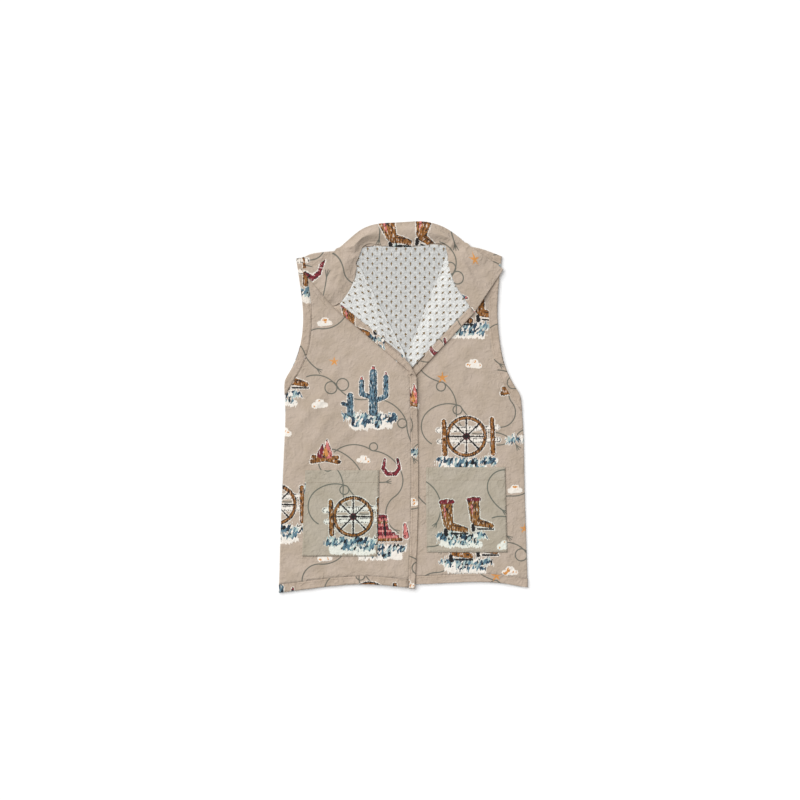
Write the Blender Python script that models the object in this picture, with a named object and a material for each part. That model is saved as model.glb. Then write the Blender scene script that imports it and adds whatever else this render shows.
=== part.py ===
"""A sleeveless western vest with a turned-down collar, laid flat on a table, front up.

Lengths in the tables are millimetres. X runs across the vest, Y from the hem to the neck and Z up from
the table. Right and left are the wearer's: the right front is at -X, and laps over the left.
"""

import math
from collections import namedtuple

import bmesh
import bpy
import numpy as np

# Driving sizes
MM = 0.001
CLOTH = 1.0  # one layer of cloth
SEAM = 0.3  # between pieces that are sewn together or lie on each other
FOLDED_SEAM = 1.1  # between a front and its band, which fold over together
FOOT_GAP = 5.0  # between the front band and the point where its front starts to fold back
COLLAR_SEAM = 1.0  # between the collar and what it is sewn to
COLLAR = 1.8  # the collar's two layers of cloth
ROLL = 1.8  # radius of a front's fold, at the middle of its wall
HEM_BAND = 15.0
ARMHOLE_BAND = 16.0
FRONT_BAND = 12.0
WALL = 2 * CLOTH + SEAM  # a panel and its lining
BACK_LEVEL = WALL / 2  # the middle of the back's wall
FRONT_LEVEL = BACK_LEVEL + WALL + SEAM
LAPEL_LIFT = 2 * ROLL
COLLAR_LIFT = COLLAR + SEAM  # what lies on the collar's hidden fall rises by this much
SIDE_RIM = WALL / 2  # radius of the turn at a side or shoulder seam

At = namedtuple("At", "along across")
Lapel = namedtuple("Lapel", "fold_foot fold_top tip")
Fold = namedtuple("Fold", "x y turn length width height")
Rise = namedtuple("Rise", "bottom side fade ahead")
Lap = namedtuple("Lap", "start width top fade foot_end reach foot_width")
FoldArea = namedtuple("FoldArea", "side bottom")
BandFold = namedtuple("BandFold", "below above step")
CollarLine = namedtuple("CollarLine", "neck ridge rim under edge")

# Each outline is a table of points: (distance along the garment, distance across it)
SIDE_SEAM = {
    -1: (At(-372, -248.6), At(-267, -245.8), At(-107, -239.4), At(-17, -235.6), At(51, -238.6)),
    +1: (At(-361, 248.6), At(-267, 245.4), At(-130, 241.6), At(-60, 240.4), At(23, 234.4)),
}
ARMHOLE = {
    -1: (At(51, -238.6), At(83, -218.6), At(108, -208.6), At(133, -202.6), At(179, -199.2),
         At(233, -204.6), At(296, -214.6)),
    +1: (At(23, 234.4), At(53, 214.4), At(88, 199.4), At(133, 191.8), At(188, 187.2),
         At(248, 190.4), At(300, 196.8)),
}
# From the side seam to the front edge, by the distance across
HEM = {
    -1: (At(-248.6, -372), At(-193, -364.8), At(-139, -357.8), At(-75, -354.4), At(-6.6, -359.6),
         At(26, -363.8)),
    +1: (At(-36, -353), At(25, -354.8), At(143, -349.8), At(200, -352), At(225, -358), At(248.6, -361)),
}
BACK_HEM = (At(-248.6, -371), At(-190, -361), At(-100, -352), At(100, -348), At(190, -349), At(248.6, -360))
# From the armhole to the neck, by the distance across
SHOULDER = {
    -1: (At(-214.6, 296.2), At(-198, 299.4), At(-187, 304.6), At(-160, 309), At(-125, 311.5), At(-84, 316)),
    +1: (At(87, 322), At(130, 320), At(150, 316.8), At(167, 311.6), At(184, 305), At(196.8, 299.8)),
}
FRONT_EDGE = {
    -1: (At(-364, 23.4), At(-267, 27.4), At(-147, 30), At(-33, 28.4), At(58, 26.4)),
    +1: (At(-354, -35), At(-180, -36), At(-2, -34.6)),
}
BACK_NECK = (At(-84, 316), At(-70, 325), At(-46, 322.8), At(3, 320), At(40, 323.6), At(57, 327), At(87, 322))
# Where each front folds back as its lapel, and the lapel's tip once folded
LAPEL = {
    -1: Lapel(fold_foot=(26.4, 58.2), fold_top=(-92.6, 289.2), tip=(-140.6, 199.2)),
    +1: Lapel(fold_foot=(-34.6, -1.4), fold_top=(87.4, 303.2), tip=(141.4, 187.2)),
}
# The folded lapel's top edge, where the collar is sewn on, from its tip to the fold
NECK_SEAM = {
    -1: (At(199.2, -140.6), At(206, -123), At(223, -112.6), At(242, -101.6), At(258, -95.2),
         At(289.2, -92.6)),
    +1: (At(187.2, 141.4), At(204, 130), At(220, 119.4), At(245, 100.2), At(266, 94.6), At(303.2, 87.4)),
}

# Where the panels climb over the collar's hidden fall; the fronts start to do so ahead of the back
RISE = Rise(bottom=254, side=178, fade=34, ahead=20)
# Where the right front climbs over the left front's edge, and over the foot of the left front's lapel
LAP = Lap(start=-97, width=54, top=235, fade=120, foot_end=(19, 66), reach=88, foot_width=50)
NECK_POINT = {-1: (-84, 316), +1: (87, 322)}  # where a shoulder seam meets the collar

# Rows and columns of the panels
FRONT_ROWS = {  # height of each row at the side and at the front edge, below the lapel's fold
    -1: (At(-299, -299), At(-270, -270), At(-241, -241), At(-213, -213), At(-184, -184), At(-155, -155),
         At(-127, -127), At(-96, -96), At(-66, -66), At(-36, -36), At(-6, -3), At(23.4, 28), At(48, 57)),
    +1: (At(-291, -291), At(-263, -263), At(-235, -235), At(-206, -206), At(-178, -178), At(-149, -149),
         At(-121, -121), At(-92, -95), At(-64, -70), At(-36, -45), At(-9.6, -20)),
}
POCKET_ROWS = (1, 7)  # the rows at a pocket's lower and upper edges
POCKET_COLUMNS = (4, 9)  # the columns at its sides
FRONT_COLUMNS = {  # shares of the way from the side seam's turn to the front edge
    -1: (0.08, 0.165, 0.28, 0.395, 0.51, 0.625, 0.745, 0.87, 1.0),
    +1: (0.07, 0.135, 0.26, 0.38, 0.50, 0.62, 0.74, 0.87, 1.0),
}
LAPEL_ROWS = 13
LAPEL_TIP_ROW = 8
ROLL_STEPS = (-50, 0, 50)
LAPEL_COLUMNS = (0.5, 1.0)
LAPEL_START = 26  # how far the lapel's first row starts above the last row below it, at the armhole
LAPEL_STOP = 262  # height of the lapel's last row at the armhole
BAND_FOLD = BandFold(below=10, above=43, step=3.5)  # the front band's rows about the lapel's foot
SHOULDER_ROW = 300  # height at which the armhole's band reaches the shoulder
BACK_ROWS = (9, 8)  # from the hem to the armholes' bands, and from there to the shoulders
BACK_COLUMNS = 14
BACK_ENDS = ((-357, -346), (286, 290))  # height of its first and last row, at the right and the left side

# The widest soft folds of the laid cloth: middle, direction, full length and width, height
FOLDS = (
    Fold(-165, -40, 62, 330, 120, 1.7),
    Fold(-70, -215, 25, 260, 130, 1.5),
    Fold(-190, -285, 75, 200, 90, 1.4),
    Fold(-60, 30, -38, 240, 110, 1.3),
    Fold(150, 40, 118, 300, 120, 1.6),
    Fold(120, -160, 160, 280, 120, 1.5),
    Fold(190, -270, 100, 220, 90, 1.3),
    Fold(110, 110, 60, 200, 90, 1.1),
)

FOLD_AREA = FoldArea(side=240, bottom=-352)  # the folds fade out before the side seams and the hem

# The collar from its right point round the back of the neck to its left point. Each line crosses it from
# the neck seam to the outer edge, over the ridge where it turns down and the rim where it turns under.
COLLAR_BACK = (
    CollarLine((-87.6, 303, 8.5), (-97, 309, 12.2), (-126, 317, 7.4), (-130, 316.4, 5.8), (-134, 314.6, 4.6)),
    CollarLine((-85, 311, 8.4), (-95, 320, 11.8), (-119, 324.8, 5.2), (-121, 320, 2.4), (-123, 314.6, 1.0)),
    CollarLine((-83, 318.6, 8.0), (-92, 330, 11.2), (-110, 331.6, 4.6), (-109, 327, 1.0), (-109, 306, 0.9)),
    CollarLine((-72, 327.2, 4.2), (-80, 346, 9.8), (-93, 347.6, 4.6), (-91, 342, 1.1), (-91, 304, 0.9)),
    CollarLine((-58, 325.6, 3.4), (-65, 356.6, 8.8), (-71, 361.4, 4.4), (-70, 356, 1.0), (-68, 303, 0.9)),
    CollarLine((-40, 323, 3.3), (-44, 361, 8.2), (-46, 366.4, 4.4), (-45, 361, 1.0), (-43, 303, 0.9)),
    CollarLine((-18, 321.4, 3.3), (-19, 362, 7.8), (-19, 367.2, 4.2), (-19, 362, 1.0), (-18, 303, 0.9)),
    CollarLine((6, 320.7, 3.3), (8, 363.4, 7.8), (8, 368.8, 4.2), (8, 363, 1.0), (6, 303, 0.9)),
    CollarLine((30, 322.8, 3.3), (32, 365, 8.0), (33, 371.1, 4.2), (32, 365, 1.0), (31, 304, 0.9)),
    CollarLine((52, 326.8, 3.4), (59, 361.8, 8.6), (63, 366.8, 4.4), (61, 361, 1.0), (58, 305, 0.9)),
    CollarLine((71, 327.2, 4.2), (80, 349, 9.8), (90, 354, 4.6), (88, 348, 1.1), (82, 307, 0.9)),
    CollarLine((85, 325.4, 8.0), (93, 336, 11.2), (109.4, 338.6, 4.6), (108, 334, 1.0), (104, 312, 0.9)),
    CollarLine((86, 318, 8.4), (95, 327, 11.8), (116, 334.6, 5.2), (118, 330, 2.4), (119, 324.6, 1.0)),
    CollarLine((85.6, 312, 8.5), (95, 318, 12.2), (119, 327.6, 7.4), (124, 327, 5.8), (129, 325, 4.6)),
)
COLLAR_OUTER = {  # the outer edge where it lies on a front, from the collar's point to the shoulder
    -1: (At(0.0, (-204.6, 275.2)), At(0.25, (-196, 276.4)), At(0.5, (-176, 279)), At(0.75, (-155, 294)),
         At(1.0, (-138, 309.6))),
    +1: (At(0.0, (200, 274.2)), At(0.25, (187, 284)), At(0.5, (168.4, 296.4)), At(0.75, (150, 308.2)),
         At(1.0, (134, 319.4))),
}
COLLAR_STEPS = (4, 3, 2, 3)  # points across the collar between two of a line's named points
# Where the collar lies on a front: share of the way from neck to edge, and height above the straight line
COLLAR_ACROSS = (At(0, 0), At(0.33, 1.3), At(0.66, 0.9), At(0.84, 0.4), At(1, 0))
COLLAR_REST = WALL / 2 + SEAM + COLLAR / 2  # from the middle of a front to that of the collar on it


def through(table, at):
    """The smooth curve through a table's rows, which never swings past them, read at places along it."""
    along = np.array([row[0] for row in table], float)
    across = np.array([row[1] for row in table], float)
    single = across.ndim == 1
    across = across.reshape(len(table), -1)
    steps = np.diff(along)[:, None]
    slopes = np.diff(across, axis=0) / steps
    turns_back = slopes[:-1] * slopes[1:] <= 0
    total = np.where(turns_back, 1.0, slopes[:-1] + slopes[1:])
    middle = np.where(turns_back, 0.0, 2 * slopes[:-1] * slopes[1:] / total)
    tangents = np.vstack([slopes[:1], middle, slopes[-1:]])
    one = np.ndim(at) == 0
    at = np.atleast_1d(np.asarray(at, float))
    i = np.clip(np.searchsorted(along, at, side="right") - 1, 0, len(along) - 2)
    h = np.diff(along)[i][:, None]
    s = (at[:, None] - along[i][:, None]) / h
    found = ((1 + 2 * s) * (1 - s) ** 2 * across[i] + s * (1 - s) ** 2 * h * tangents[i]
             + s * s * (3 - 2 * s) * across[i + 1] + s * s * (s - 1) * h * tangents[i + 1])
    found = found[:, 0] if single else found
    return found[0] if one else found


def ease(x):
    """0 below 0, 1 above 1 and smooth between."""
    x = np.clip(x, 0.0, 1.0)
    return x * x * (3 - 2 * x)


def folds_at(x, y):
    """How far the soft folds raise the fronts."""
    raised = np.zeros(np.broadcast(x, y).shape)
    for fold in FOLDS:
        turn = math.radians(fold.turn)
        along = (x - fold.x) * math.cos(turn) + (y - fold.y) * math.sin(turn)
        aside = (y - fold.y) * math.cos(turn) - (x - fold.x) * math.sin(turn)
        inside = (1 - (2 * along / fold.length) ** 2, 1 - (2 * aside / fold.width) ** 2)
        raised = raised + fold.height * ease(inside[0]) * ease(inside[1])
    return raised


def over_collar(x, y, ahead=0.0):
    """How far a panel is raised by the collar's fall, which lies under the back's neck."""
    up = ease((y - RISE.bottom + ahead) / RISE.fade)
    return COLLAR_LIFT * up * ease((RISE.side + ahead - np.abs(x)) / RISE.fade)


def fold_point(side, share):
    """A point of the line on which a front folds back, from its foot to its top."""
    foot, top = (np.array(p) for p in LAPEL[side][:2])
    return foot + (top - foot) * np.asarray(share)[..., None]


def inward_of(side):
    """The direction in plan from a front's fold towards its armhole."""
    foot, top = (np.array(p) for p in LAPEL[side][:2])
    return side * np.array([(top - foot)[1], -(top - foot)[0]]) / np.linalg.norm(top - foot)


def mirrored(side, point):
    """The point's mirror image in the fold: the flat cut's point for the folded one, and back."""
    foot, top = (np.array(p) for p in LAPEL[side][:2])
    line = (top - foot) / np.linalg.norm(top - foot)
    offset = np.asarray(point, float) - foot
    return foot + 2 * np.outer(offset @ line, line).reshape(offset.shape) - offset


def front_level(side, x, y):
    """The height of the middle of a front's wall."""
    level = FRONT_LEVEL + over_collar(x, y, RISE.ahead)
    inside = ease((FOLD_AREA.side - np.abs(x)) / 70) * ease((y - FOLD_AREA.bottom) / 60)
    level = level + folds_at(x, y) * inside
    if side > 0:
        return level
    foot = np.array(LAPEL[1].fold_foot)
    line = np.array(LAP.foot_end) - foot
    share = np.clip(((x - foot[0]) * line[0] + (y - foot[1]) * line[1]) / (line @ line), 0, 1)
    away = np.hypot(x - foot[0] - share * line[0], y - foot[1] - share * line[1])
    level = level + (WALL + SEAM) * ease((x - LAP.start) / LAP.width) * ease((LAP.top - y) / LAP.fade)
    return level + (LAPEL_LIFT + 2 * SEAM) * ease((LAP.reach - away) / LAP.foot_width)


def armhole_lines(side, count=11):
    """The armhole's edge and its band's inner edge, from the side seam to the shoulder."""
    height = np.linspace(ARMHOLE[side][0].along, ARMHOLE[side][-1].along, count)
    edge = np.column_stack([through(ARMHOLE[side], height), height])
    ahead = np.gradient(edge, axis=0)
    ahead /= np.linalg.norm(ahead, axis=1)[:, None]
    inner = edge - side * ARMHOLE_BAND * np.column_stack([ahead[:, 1], -ahead[:, 0]])
    back = inner[0] - ahead[0] * np.arange(0, 60, 0.5)[:, None]
    outside = side * (back[:, 0] - through(SIDE_SEAM[side], back[:, 1])) > 0
    inner[0] = back[np.argmax(outside)]
    inner[-1, 0] = edge[-1, 0] - side * ARMHOLE_BAND
    inner[-1, 1] = through(SHOULDER[side], inner[-1, 0])
    return edge, inner


def panel_side(side, height):
    """Across, where a panel ends: at its side seam, and above that at the armhole's band."""
    inner = armhole_lines(side)[1]
    line = np.interp(height, inner[:, 1], inner[:, 0]) - side * SEAM
    return np.where(height < inner[0, 1], through(SIDE_SEAM[side], height), line)


def normals_of(grid):
    """The unit normals of a grid of points, whose rows and columns may meet in one point."""
    points = grid.reshape(-1, 3)
    index = np.unique(np.round(points, 4), axis=0, return_inverse=True)[1].reshape(grid.shape[:2])
    corners = index[:-1, :-1], index[:-1, 1:], index[1:, 1:], index[1:, :-1]
    facing = np.cross(grid[1:, 1:] - grid[:-1, :-1], grid[1:, :-1] - grid[:-1, 1:])
    total = np.zeros((index.max() + 1, 3))
    for corner in corners:
        np.add.at(total, corner.ravel(), facing.reshape(-1, 3))
    total /= np.linalg.norm(total, axis=1)[:, None]
    return total[index]


def new_material(name, colour, roughness):
    material = bpy.data.materials.new(name)
    material.use_nodes = True
    shader = material.node_tree.nodes["Principled BSDF"]
    shader.inputs["Base Color"].default_value = (*colour, 1.0)
    shader.inputs["Roughness"].default_value = roughness
    material.diffuse_color = (*colour, 1.0)
    return material


def wall(name, grid, normals, start, end, material):
    """A closed wall of cloth over a grid of points, from start to end along the grid's normals."""
    mesh_data = bmesh.new()
    which = mesh_data.verts.layers.int.new("point")
    near = (grid + normals * start).reshape(-1, 3) * MM
    far = (grid + normals * end).reshape(-1, 3) * MM
    made = [mesh_data.verts.new(point) for point in near]
    for number, vertex in enumerate(made):
        vertex[which] = number
    rows, columns = grid.shape[:2]
    for row in range(rows - 1):
        for column in range(columns - 1):
            first = row * columns + column
            mesh_data.faces.new([made[i] for i in (first, first + 1, first + columns + 1, first + columns)])
    bmesh.ops.remove_doubles(mesh_data, verts=mesh_data.verts[:], dist=1e-7)
    grown = bmesh.ops.extrude_face_region(mesh_data, geom=mesh_data.faces[:])["geom"]
    for vertex in (item for item in grown if isinstance(item, bmesh.types.BMVert)):
        vertex.co = far[vertex[which]]
    bmesh.ops.triangulate(mesh_data, faces=mesh_data.faces[:])
    bmesh.ops.recalc_face_normals(mesh_data, faces=mesh_data.faces[:])
    mesh = bpy.data.meshes.new(name)
    mesh_data.to_mesh(mesh)
    mesh_data.free()
    mesh.materials.append(material)
    piece = bpy.data.objects.new(name, mesh)
    bpy.context.scene.collection.objects.link(piece)
    return piece


def seam_turn(level, meeting, turn):
    """Inset and height of the middle of a wall that turns to meet another at a seam."""
    turn = math.radians(turn)
    return 2 * SIDE_RIM - SIDE_RIM * math.cos(turn), meeting + (level - meeting) * math.sin(turn)


def hem_corner(side):
    """The lower end of the side seam."""
    return HEM[side][0 if side < 0 else -1]


def above_hem(side, x):
    """The lowest point of a front, which is sewn to the hem's band, at one place across."""
    return through(HEM[side], x) + HEM_BAND + SEAM


def above_hem_at_front(side):
    return above_hem(side, FRONT_EDGE[side][0].across)


def front_rows(side):
    """Ends of each row of a front: at the side seam or armhole, and at the front edge, fold or neck."""
    rows = FRONT_ROWS[side]
    outer = [(panel_side(side, row.along), row.along) for row in rows]
    inner = [(flat_edge(side, row.across) + side * (FRONT_BAND + FOLDED_SEAM), row.across) for row in rows]
    hem = (panel_side(side, hem_corner(side).across + HEM_BAND),
           flat_edge(side, above_hem_at_front(side)) + side * (FRONT_BAND + FOLDED_SEAM))
    return [(hem[0], above_hem(side, hem[0]))] + outer, [(hem[1], above_hem(side, hem[1]))] + inner


def flat_tip(side):
    return mirrored(side, np.array(LAPEL[side].tip))


def flat_edge(side, height):
    """Across, the front edge of the flat cut, which carries on above the lapel's fold."""
    foot, tip = np.array(LAPEL[side].fold_foot), flat_tip(side)
    lean = foot[0] + (tip[0] - foot[0]) * (height - foot[1]) / (tip[1] - foot[1])
    return np.where(height < foot[1], through(FRONT_EDGE[side], np.minimum(height, foot[1])), lean)


def lapel_foot(side):
    """The share of the fold at which the front band's inner edge crosses it."""
    shares = np.arange(0, 0.4, 0.001)
    line = fold_point(side, shares)
    past = side * (line[:, 0] - flat_edge(side, line[:, 1])) > FRONT_BAND + FOOT_GAP
    return shares[np.argmax(past)]


def lapel_tip(side, inside):
    """A point of the lapel's end at its tip, by its distance inside the lapel's edge."""
    foot, tip = np.array(LAPEL[side].fold_foot), np.array(LAPEL[side].tip)
    along = (tip - foot) / np.linalg.norm(tip - foot)
    seam = NECK_SEAM[side][1]
    corner = np.array([seam.across, seam.along])
    depth = abs(along[0] * (corner - tip)[1] - along[1] * (corner - tip)[0])
    return tip + (corner - tip) * inside / depth


def lapel_ends(side):
    """Where the lapel's rows end: along the band's inner edge, then along the neck seam."""
    foot = fold_point(side, lapel_foot(side))
    tip = lapel_tip(side, FRONT_BAND + FOLDED_SEAM)
    share = np.linspace(0, 1, LAPEL_TIP_ROW + 1)[:, None]
    along_edge = foot + (tip - foot) * share
    seam = NECK_SEAM[side]
    heights = np.linspace(tip[1], seam[-1].along, LAPEL_ROWS - LAPEL_TIP_ROW)[1:]
    return np.vstack([along_edge, np.column_stack([through(seam, heights), heights])])


def front_grid(side):
    """The middle of a front's wall: rows from the hem up, columns from the side to the lapel's edge."""
    outer, inner = front_rows(side)
    fold = fold_point(side, np.linspace(lapel_foot(side), 1.0, LAPEL_ROWS))
    neck = np.array(NECK_POINT[side], float)
    grid = [front_row(side, number == 0, *ends) for number, ends in enumerate(zip(outer, inner))]
    heights = np.linspace(outer[-1][1] + LAPEL_START, LAPEL_STOP, LAPEL_ROWS)
    for number, (height, stop, end) in enumerate(zip(heights, fold, lapel_ends(side))):
        grid.append(front_row(side, False, (panel_side(side, height), height), stop, end, number == 0))
    height = (LAPEL_STOP + SHOULDER_ROW) / 2
    grid.append(front_row(side, False, (panel_side(side, height), height), fold[-1] * 0.75 + neck * 0.25))
    for turn in (90, 45, 0):
        grid.append(shoulder_row(side, turn, len(grid[0])))
    return np.array(grid)


def side_turn(side, start, level, meeting):
    """The two outermost points of a row: turned to the other panel at a seam, or flat at the armhole."""
    if meeting is None:
        return [(start[0], start[1], level), (start[0] - side * SIDE_RIM, start[1], level)]
    turned = [seam_turn(level, meeting, turn) for turn in (0, 45)]
    return [(start[0] - side * inset, start[1], height) for inset, height in turned]


def front_row(side, is_hem, start, stop, end=None, is_foot=False):
    """One row of a front, with its turn at the side seam and, where it folds, its roll and lapel."""
    inward = inward_of(side)
    start, stop = np.array(start, float), np.array(stop, float)
    first = start - (side * 2 * SIDE_RIM, 0)
    last = stop if end is None else stop + inward * ROLL
    places = np.vstack([first, first + (last - first) * np.array(FRONT_COLUMNS[side])[:, None]])
    if is_hem:
        places[:, 1] = above_hem(side, places[:, 0])
    levels = front_level(side, places[:, 0], places[:, 1])
    sewn = start[1] < armhole_lines(side)[1][0, 1] - 1
    row = side_turn(side, start, levels[0], WALL + SEAM if sewn else None)
    row += [(x, y, level) for (x, y), level in zip(places, levels)]
    if end is None:
        return row + [row[-1]] * (len(ROLL_STEPS) + 1 + len(LAPEL_COLUMNS))
    rolled = []
    for turn in np.radians(ROLL_STEPS):
        place = stop + inward * ROLL * (1 - math.cos(turn))
        rolled.append((*place, levels[-1] + ROLL * (1 + math.sin(turn))))
    if is_foot:
        return row + rolled[:2] + [rolled[1]] * (len(ROLL_STEPS) - 1 + len(LAPEL_COLUMNS))
    row += rolled + [(*last, levels[-1] + LAPEL_LIFT)]
    if np.linalg.norm(end - stop) < ROLL:
        return row + [row[-1]] * len(LAPEL_COLUMNS)
    for share in LAPEL_COLUMNS:
        x, y = last + (end - last) * share
        row.append((x, y, front_level(side, x, y) + LAPEL_LIFT))
    return row


def shoulder_start(side, turn):
    """Across, where a row along the shoulder starts at the armhole's band."""
    return panel_side(side, armhole_lines(side)[1][-1, 1] - seam_turn(0, 0, turn)[0])


def shoulder_row(side, turn, columns):
    """A row of a front along its shoulder, where it turns down to meet the back."""
    start = shoulder_start(side, turn)
    first = start - side * 2 * SIDE_RIM
    across = [start, start - side * SIDE_RIM, first]
    across += [first + (NECK_POINT[side][0] - first) * share for share in FRONT_COLUMNS[side]]
    row = []
    for x in across:
        y = through(SHOULDER[side], x)
        level = front_level(side, x, y)
        inset, height = seam_turn(level, level - WALL / 2, turn)
        row.append((x, y - inset, height))
    return row + [row[-1]] * (columns - len(row))


def make_front(side, shell, lining, bands):
    """A front, its lining, its pocket and its bands."""
    word = "left" if side > 0 else "right"
    grid = front_grid(side)
    normals = normals_of(grid) * -side
    sewn = grid[:, 0, 1] < armhole_lines(side)[1][0, 1] - 1
    normals[:, 0] = (0, 0, 1)
    normals[sewn, 0] = (side, 0, 0)
    normals[-1] = (0, 1, 0)
    near, far = SEAM / 2, SEAM / 2 + CLOTH
    wall(f"front_{word}", grid, normals, near, far, shell)
    kept = slice(0, -2), slice(2, None)
    wall(f"front_{word}_lining", grid[kept], normals[kept], -near, -far, lining)
    patch = slice(POCKET_ROWS[0], POCKET_ROWS[1] + 1), slice(POCKET_COLUMNS[0], POCKET_COLUMNS[1] + 1)
    wall(f"pocket_{word}", grid[patch], normals[patch], far + SEAM, far + SEAM + CLOTH, shell)

    def level(x, y):
        return front_level(side, x, y)

    make_armhole_band(f"armhole_band_{word}_front", side, grid[:-1, 0], level, bands)
    last = 2 + len(FRONT_COLUMNS[side])
    make_hem_band(f"hem_band_{word}", grid[0, 2:last + 1], HEM[side], [side], level, bands)
    make_front_band(f"front_band_{word}", side, bands)


def band(name, edge, inner, level, material):
    """A flat folded band between two lines, butted to the panel inside it."""
    lines = [edge + (inner - edge) * share for share in (0.0, 0.5, 1.0)]
    grid = np.array([np.column_stack([line, level(line[:, 0], line[:, 1])]) for line in lines])
    normals = normals_of(grid)
    return wall(name, grid, normals * np.sign(normals[..., 2].mean()), -WALL / 2, WALL / 2, material)


def band_beside(side, heights):
    """An armhole band's edge and inner line, with a point beside each row of the panel next to it."""
    edge, inner = armhole_lines(side)
    places = np.interp(np.append(inner[0, 1], heights), inner[:, 1], np.arange(len(inner)))
    places = np.append(places[places < len(inner) - 1.1], len(inner) - 1)
    lines = []
    for line in (edge, inner):
        lines.append(np.column_stack([np.interp(places, np.arange(len(line)), line[:, i]) for i in (0, 1)]))
    return lines


def make_armhole_band(name, side, column, level, material):
    """The band beside one column of a panel, which is the panel's edge at the armhole."""
    start = armhole_lines(side)[1][0, 1]
    edge, inner = band_beside(side, [y for y in column[:, 1] if y > start + 1])
    band(name, edge, inner, level, material)


def back_level(x, y):
    return BACK_LEVEL + over_collar(x, y)


def back_grid():
    """The middle of the back's wall, from the hem to the shoulders and from right to left."""
    corners = [armhole_lines(side)[1][0, 1] for side in (-1, 1)]
    lower = np.linspace(BACK_ENDS[0], corners, BACK_ROWS[0])
    upper = np.linspace(corners, BACK_ENDS[1], BACK_ROWS[1])[1:]
    rows = [back_row(ends, corners, number == 0) for number, ends in enumerate(np.vstack([lower, upper]))]
    return np.array(rows + [back_top_row(turn) for turn in (90, 45, 0)]), corners


def on_shoulder(x):
    return (x < NECK_POINT[-1][0]) | (x > NECK_POINT[1][0])


def back_top(x):
    """The back's upper edge: a shoulder, the neck and the other shoulder."""
    right, left = NECK_POINT[-1][0], NECK_POINT[1][0]
    if x < right:
        return through(SHOULDER[-1], x)
    return through(SHOULDER[1], x) if x > left else through(BACK_NECK, x)


def spread(start, stop):
    """Distances across the back, from one side's turn to the other's."""
    return np.linspace(start + 2 * SIDE_RIM, stop - 2 * SIDE_RIM, BACK_COLUMNS)


def back_row(ends, corners, is_hem):
    """One row of the back, with its turns up to the fronts at the side seams."""
    sides = panel_side(-1, ends[0]), panel_side(1, ends[1])
    across = spread(*sides)
    heights = ends[0] + (ends[1] - ends[0]) * (across - across[0]) / (across[-1] - across[0])
    if is_hem:
        heights = through(BACK_HEM, across) + HEM_BAND + SEAM
    levels = back_level(across, heights)
    turned = []
    for side, end in ((-1, 0), (1, -1)):
        sewn = heights[end] < corners[end] - 1
        turned.append(side_turn(side, (sides[end], heights[end]), levels[end], WALL if sewn else None))
    return turned[0] + list(zip(across, heights, levels)) + turned[1][::-1]


def back_top_row(turn):
    """A row along the back's shoulders, where it turns up to the fronts, and its neck."""
    sides = shoulder_start(-1, turn), shoulder_start(1, turn)
    across = [sides[0], sides[0] + SIDE_RIM, *spread(*sides), sides[1] - SIDE_RIM, sides[1]]
    row = []
    for x in across:
        y = back_top(x)
        level = back_level(x, y)
        inset, height = seam_turn(level, level + WALL / 2, turn)
        row.append((x, y - inset, height) if on_shoulder(x) else (x, y - inset + SIDE_RIM, level))
    return row


def make_back(shell, lining, bands):
    """The back, its lining and its bands."""
    grid, corners = back_grid()
    normals = normals_of(grid)
    normals *= np.sign(normals[..., 2].mean())
    for side, column in ((-1, 0), (1, -1)):
        normals[:, column] = (0, 0, 1)
        normals[grid[:, column, 1] < corners[column] - 1, column] = (-side, 0, 0)
    normals[-1, on_shoulder(grid[-1, :, 0])] = (0, -1, 0)
    near, far = SEAM / 2, SEAM / 2 + CLOTH
    wall("back", grid, normals, -near, -far, shell)
    kept = slice(0, -2), slice(2, -2)
    wall("back_lining", grid[kept], normals[kept], near, far, lining)
    for side, word, column in ((-1, "right", 0), (1, "left", -1)):
        make_armhole_band(f"armhole_band_{word}_back", side, grid[:-1, column], back_level, bands)
    make_hem_band("hem_band_back", grid[0, 2:-2], BACK_HEM, (-1, 1), back_level, bands)


def make_hem_band(name, row, hem, seams, level, material):
    """The band below a panel's lowest row, which it follows point by point, out to its side seams."""
    inner = row[:, :2] - (0, SEAM)
    edge = np.column_stack([inner[:, 0], through(hem, inner[:, 0])])
    for side in seams:
        at = int(np.argmax(side * inner[:, 0]))
        after = at + (1 if at else 0)
        inner = np.insert(inner, after, (panel_side(side, inner[at, 1]), inner[at, 1]), axis=0)
        edge = np.insert(edge, after, hem[0 if side < 0 else -1], axis=0)
    return band(name, edge, inner, level, material)


def folded(side, point):
    """Where a point of a front's flat cut lies once the lapel is folded back, with its height."""
    foot, top = (np.array(p) for p in LAPEL[side][:2])
    line = (top - foot) / np.linalg.norm(top - foot)
    inward = side * np.array([line[1], -line[0]])
    offset = point - foot
    beyond = -float(offset @ inward)
    on_line = foot + (offset @ line) * line
    reach = ROLL * math.pi / 2
    if beyond < -reach:
        return (*point, float(front_level(side, *point)))
    if beyond < reach:
        turn = beyond / ROLL
        place = on_line + inward * ROLL * (1 - math.cos(turn))
        return (*place, float(front_level(side, *place)) + ROLL * (1 + math.sin(turn)))
    place = on_line + inward * beyond
    return (*place, float(front_level(side, *place)) + LAPEL_LIFT)


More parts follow.
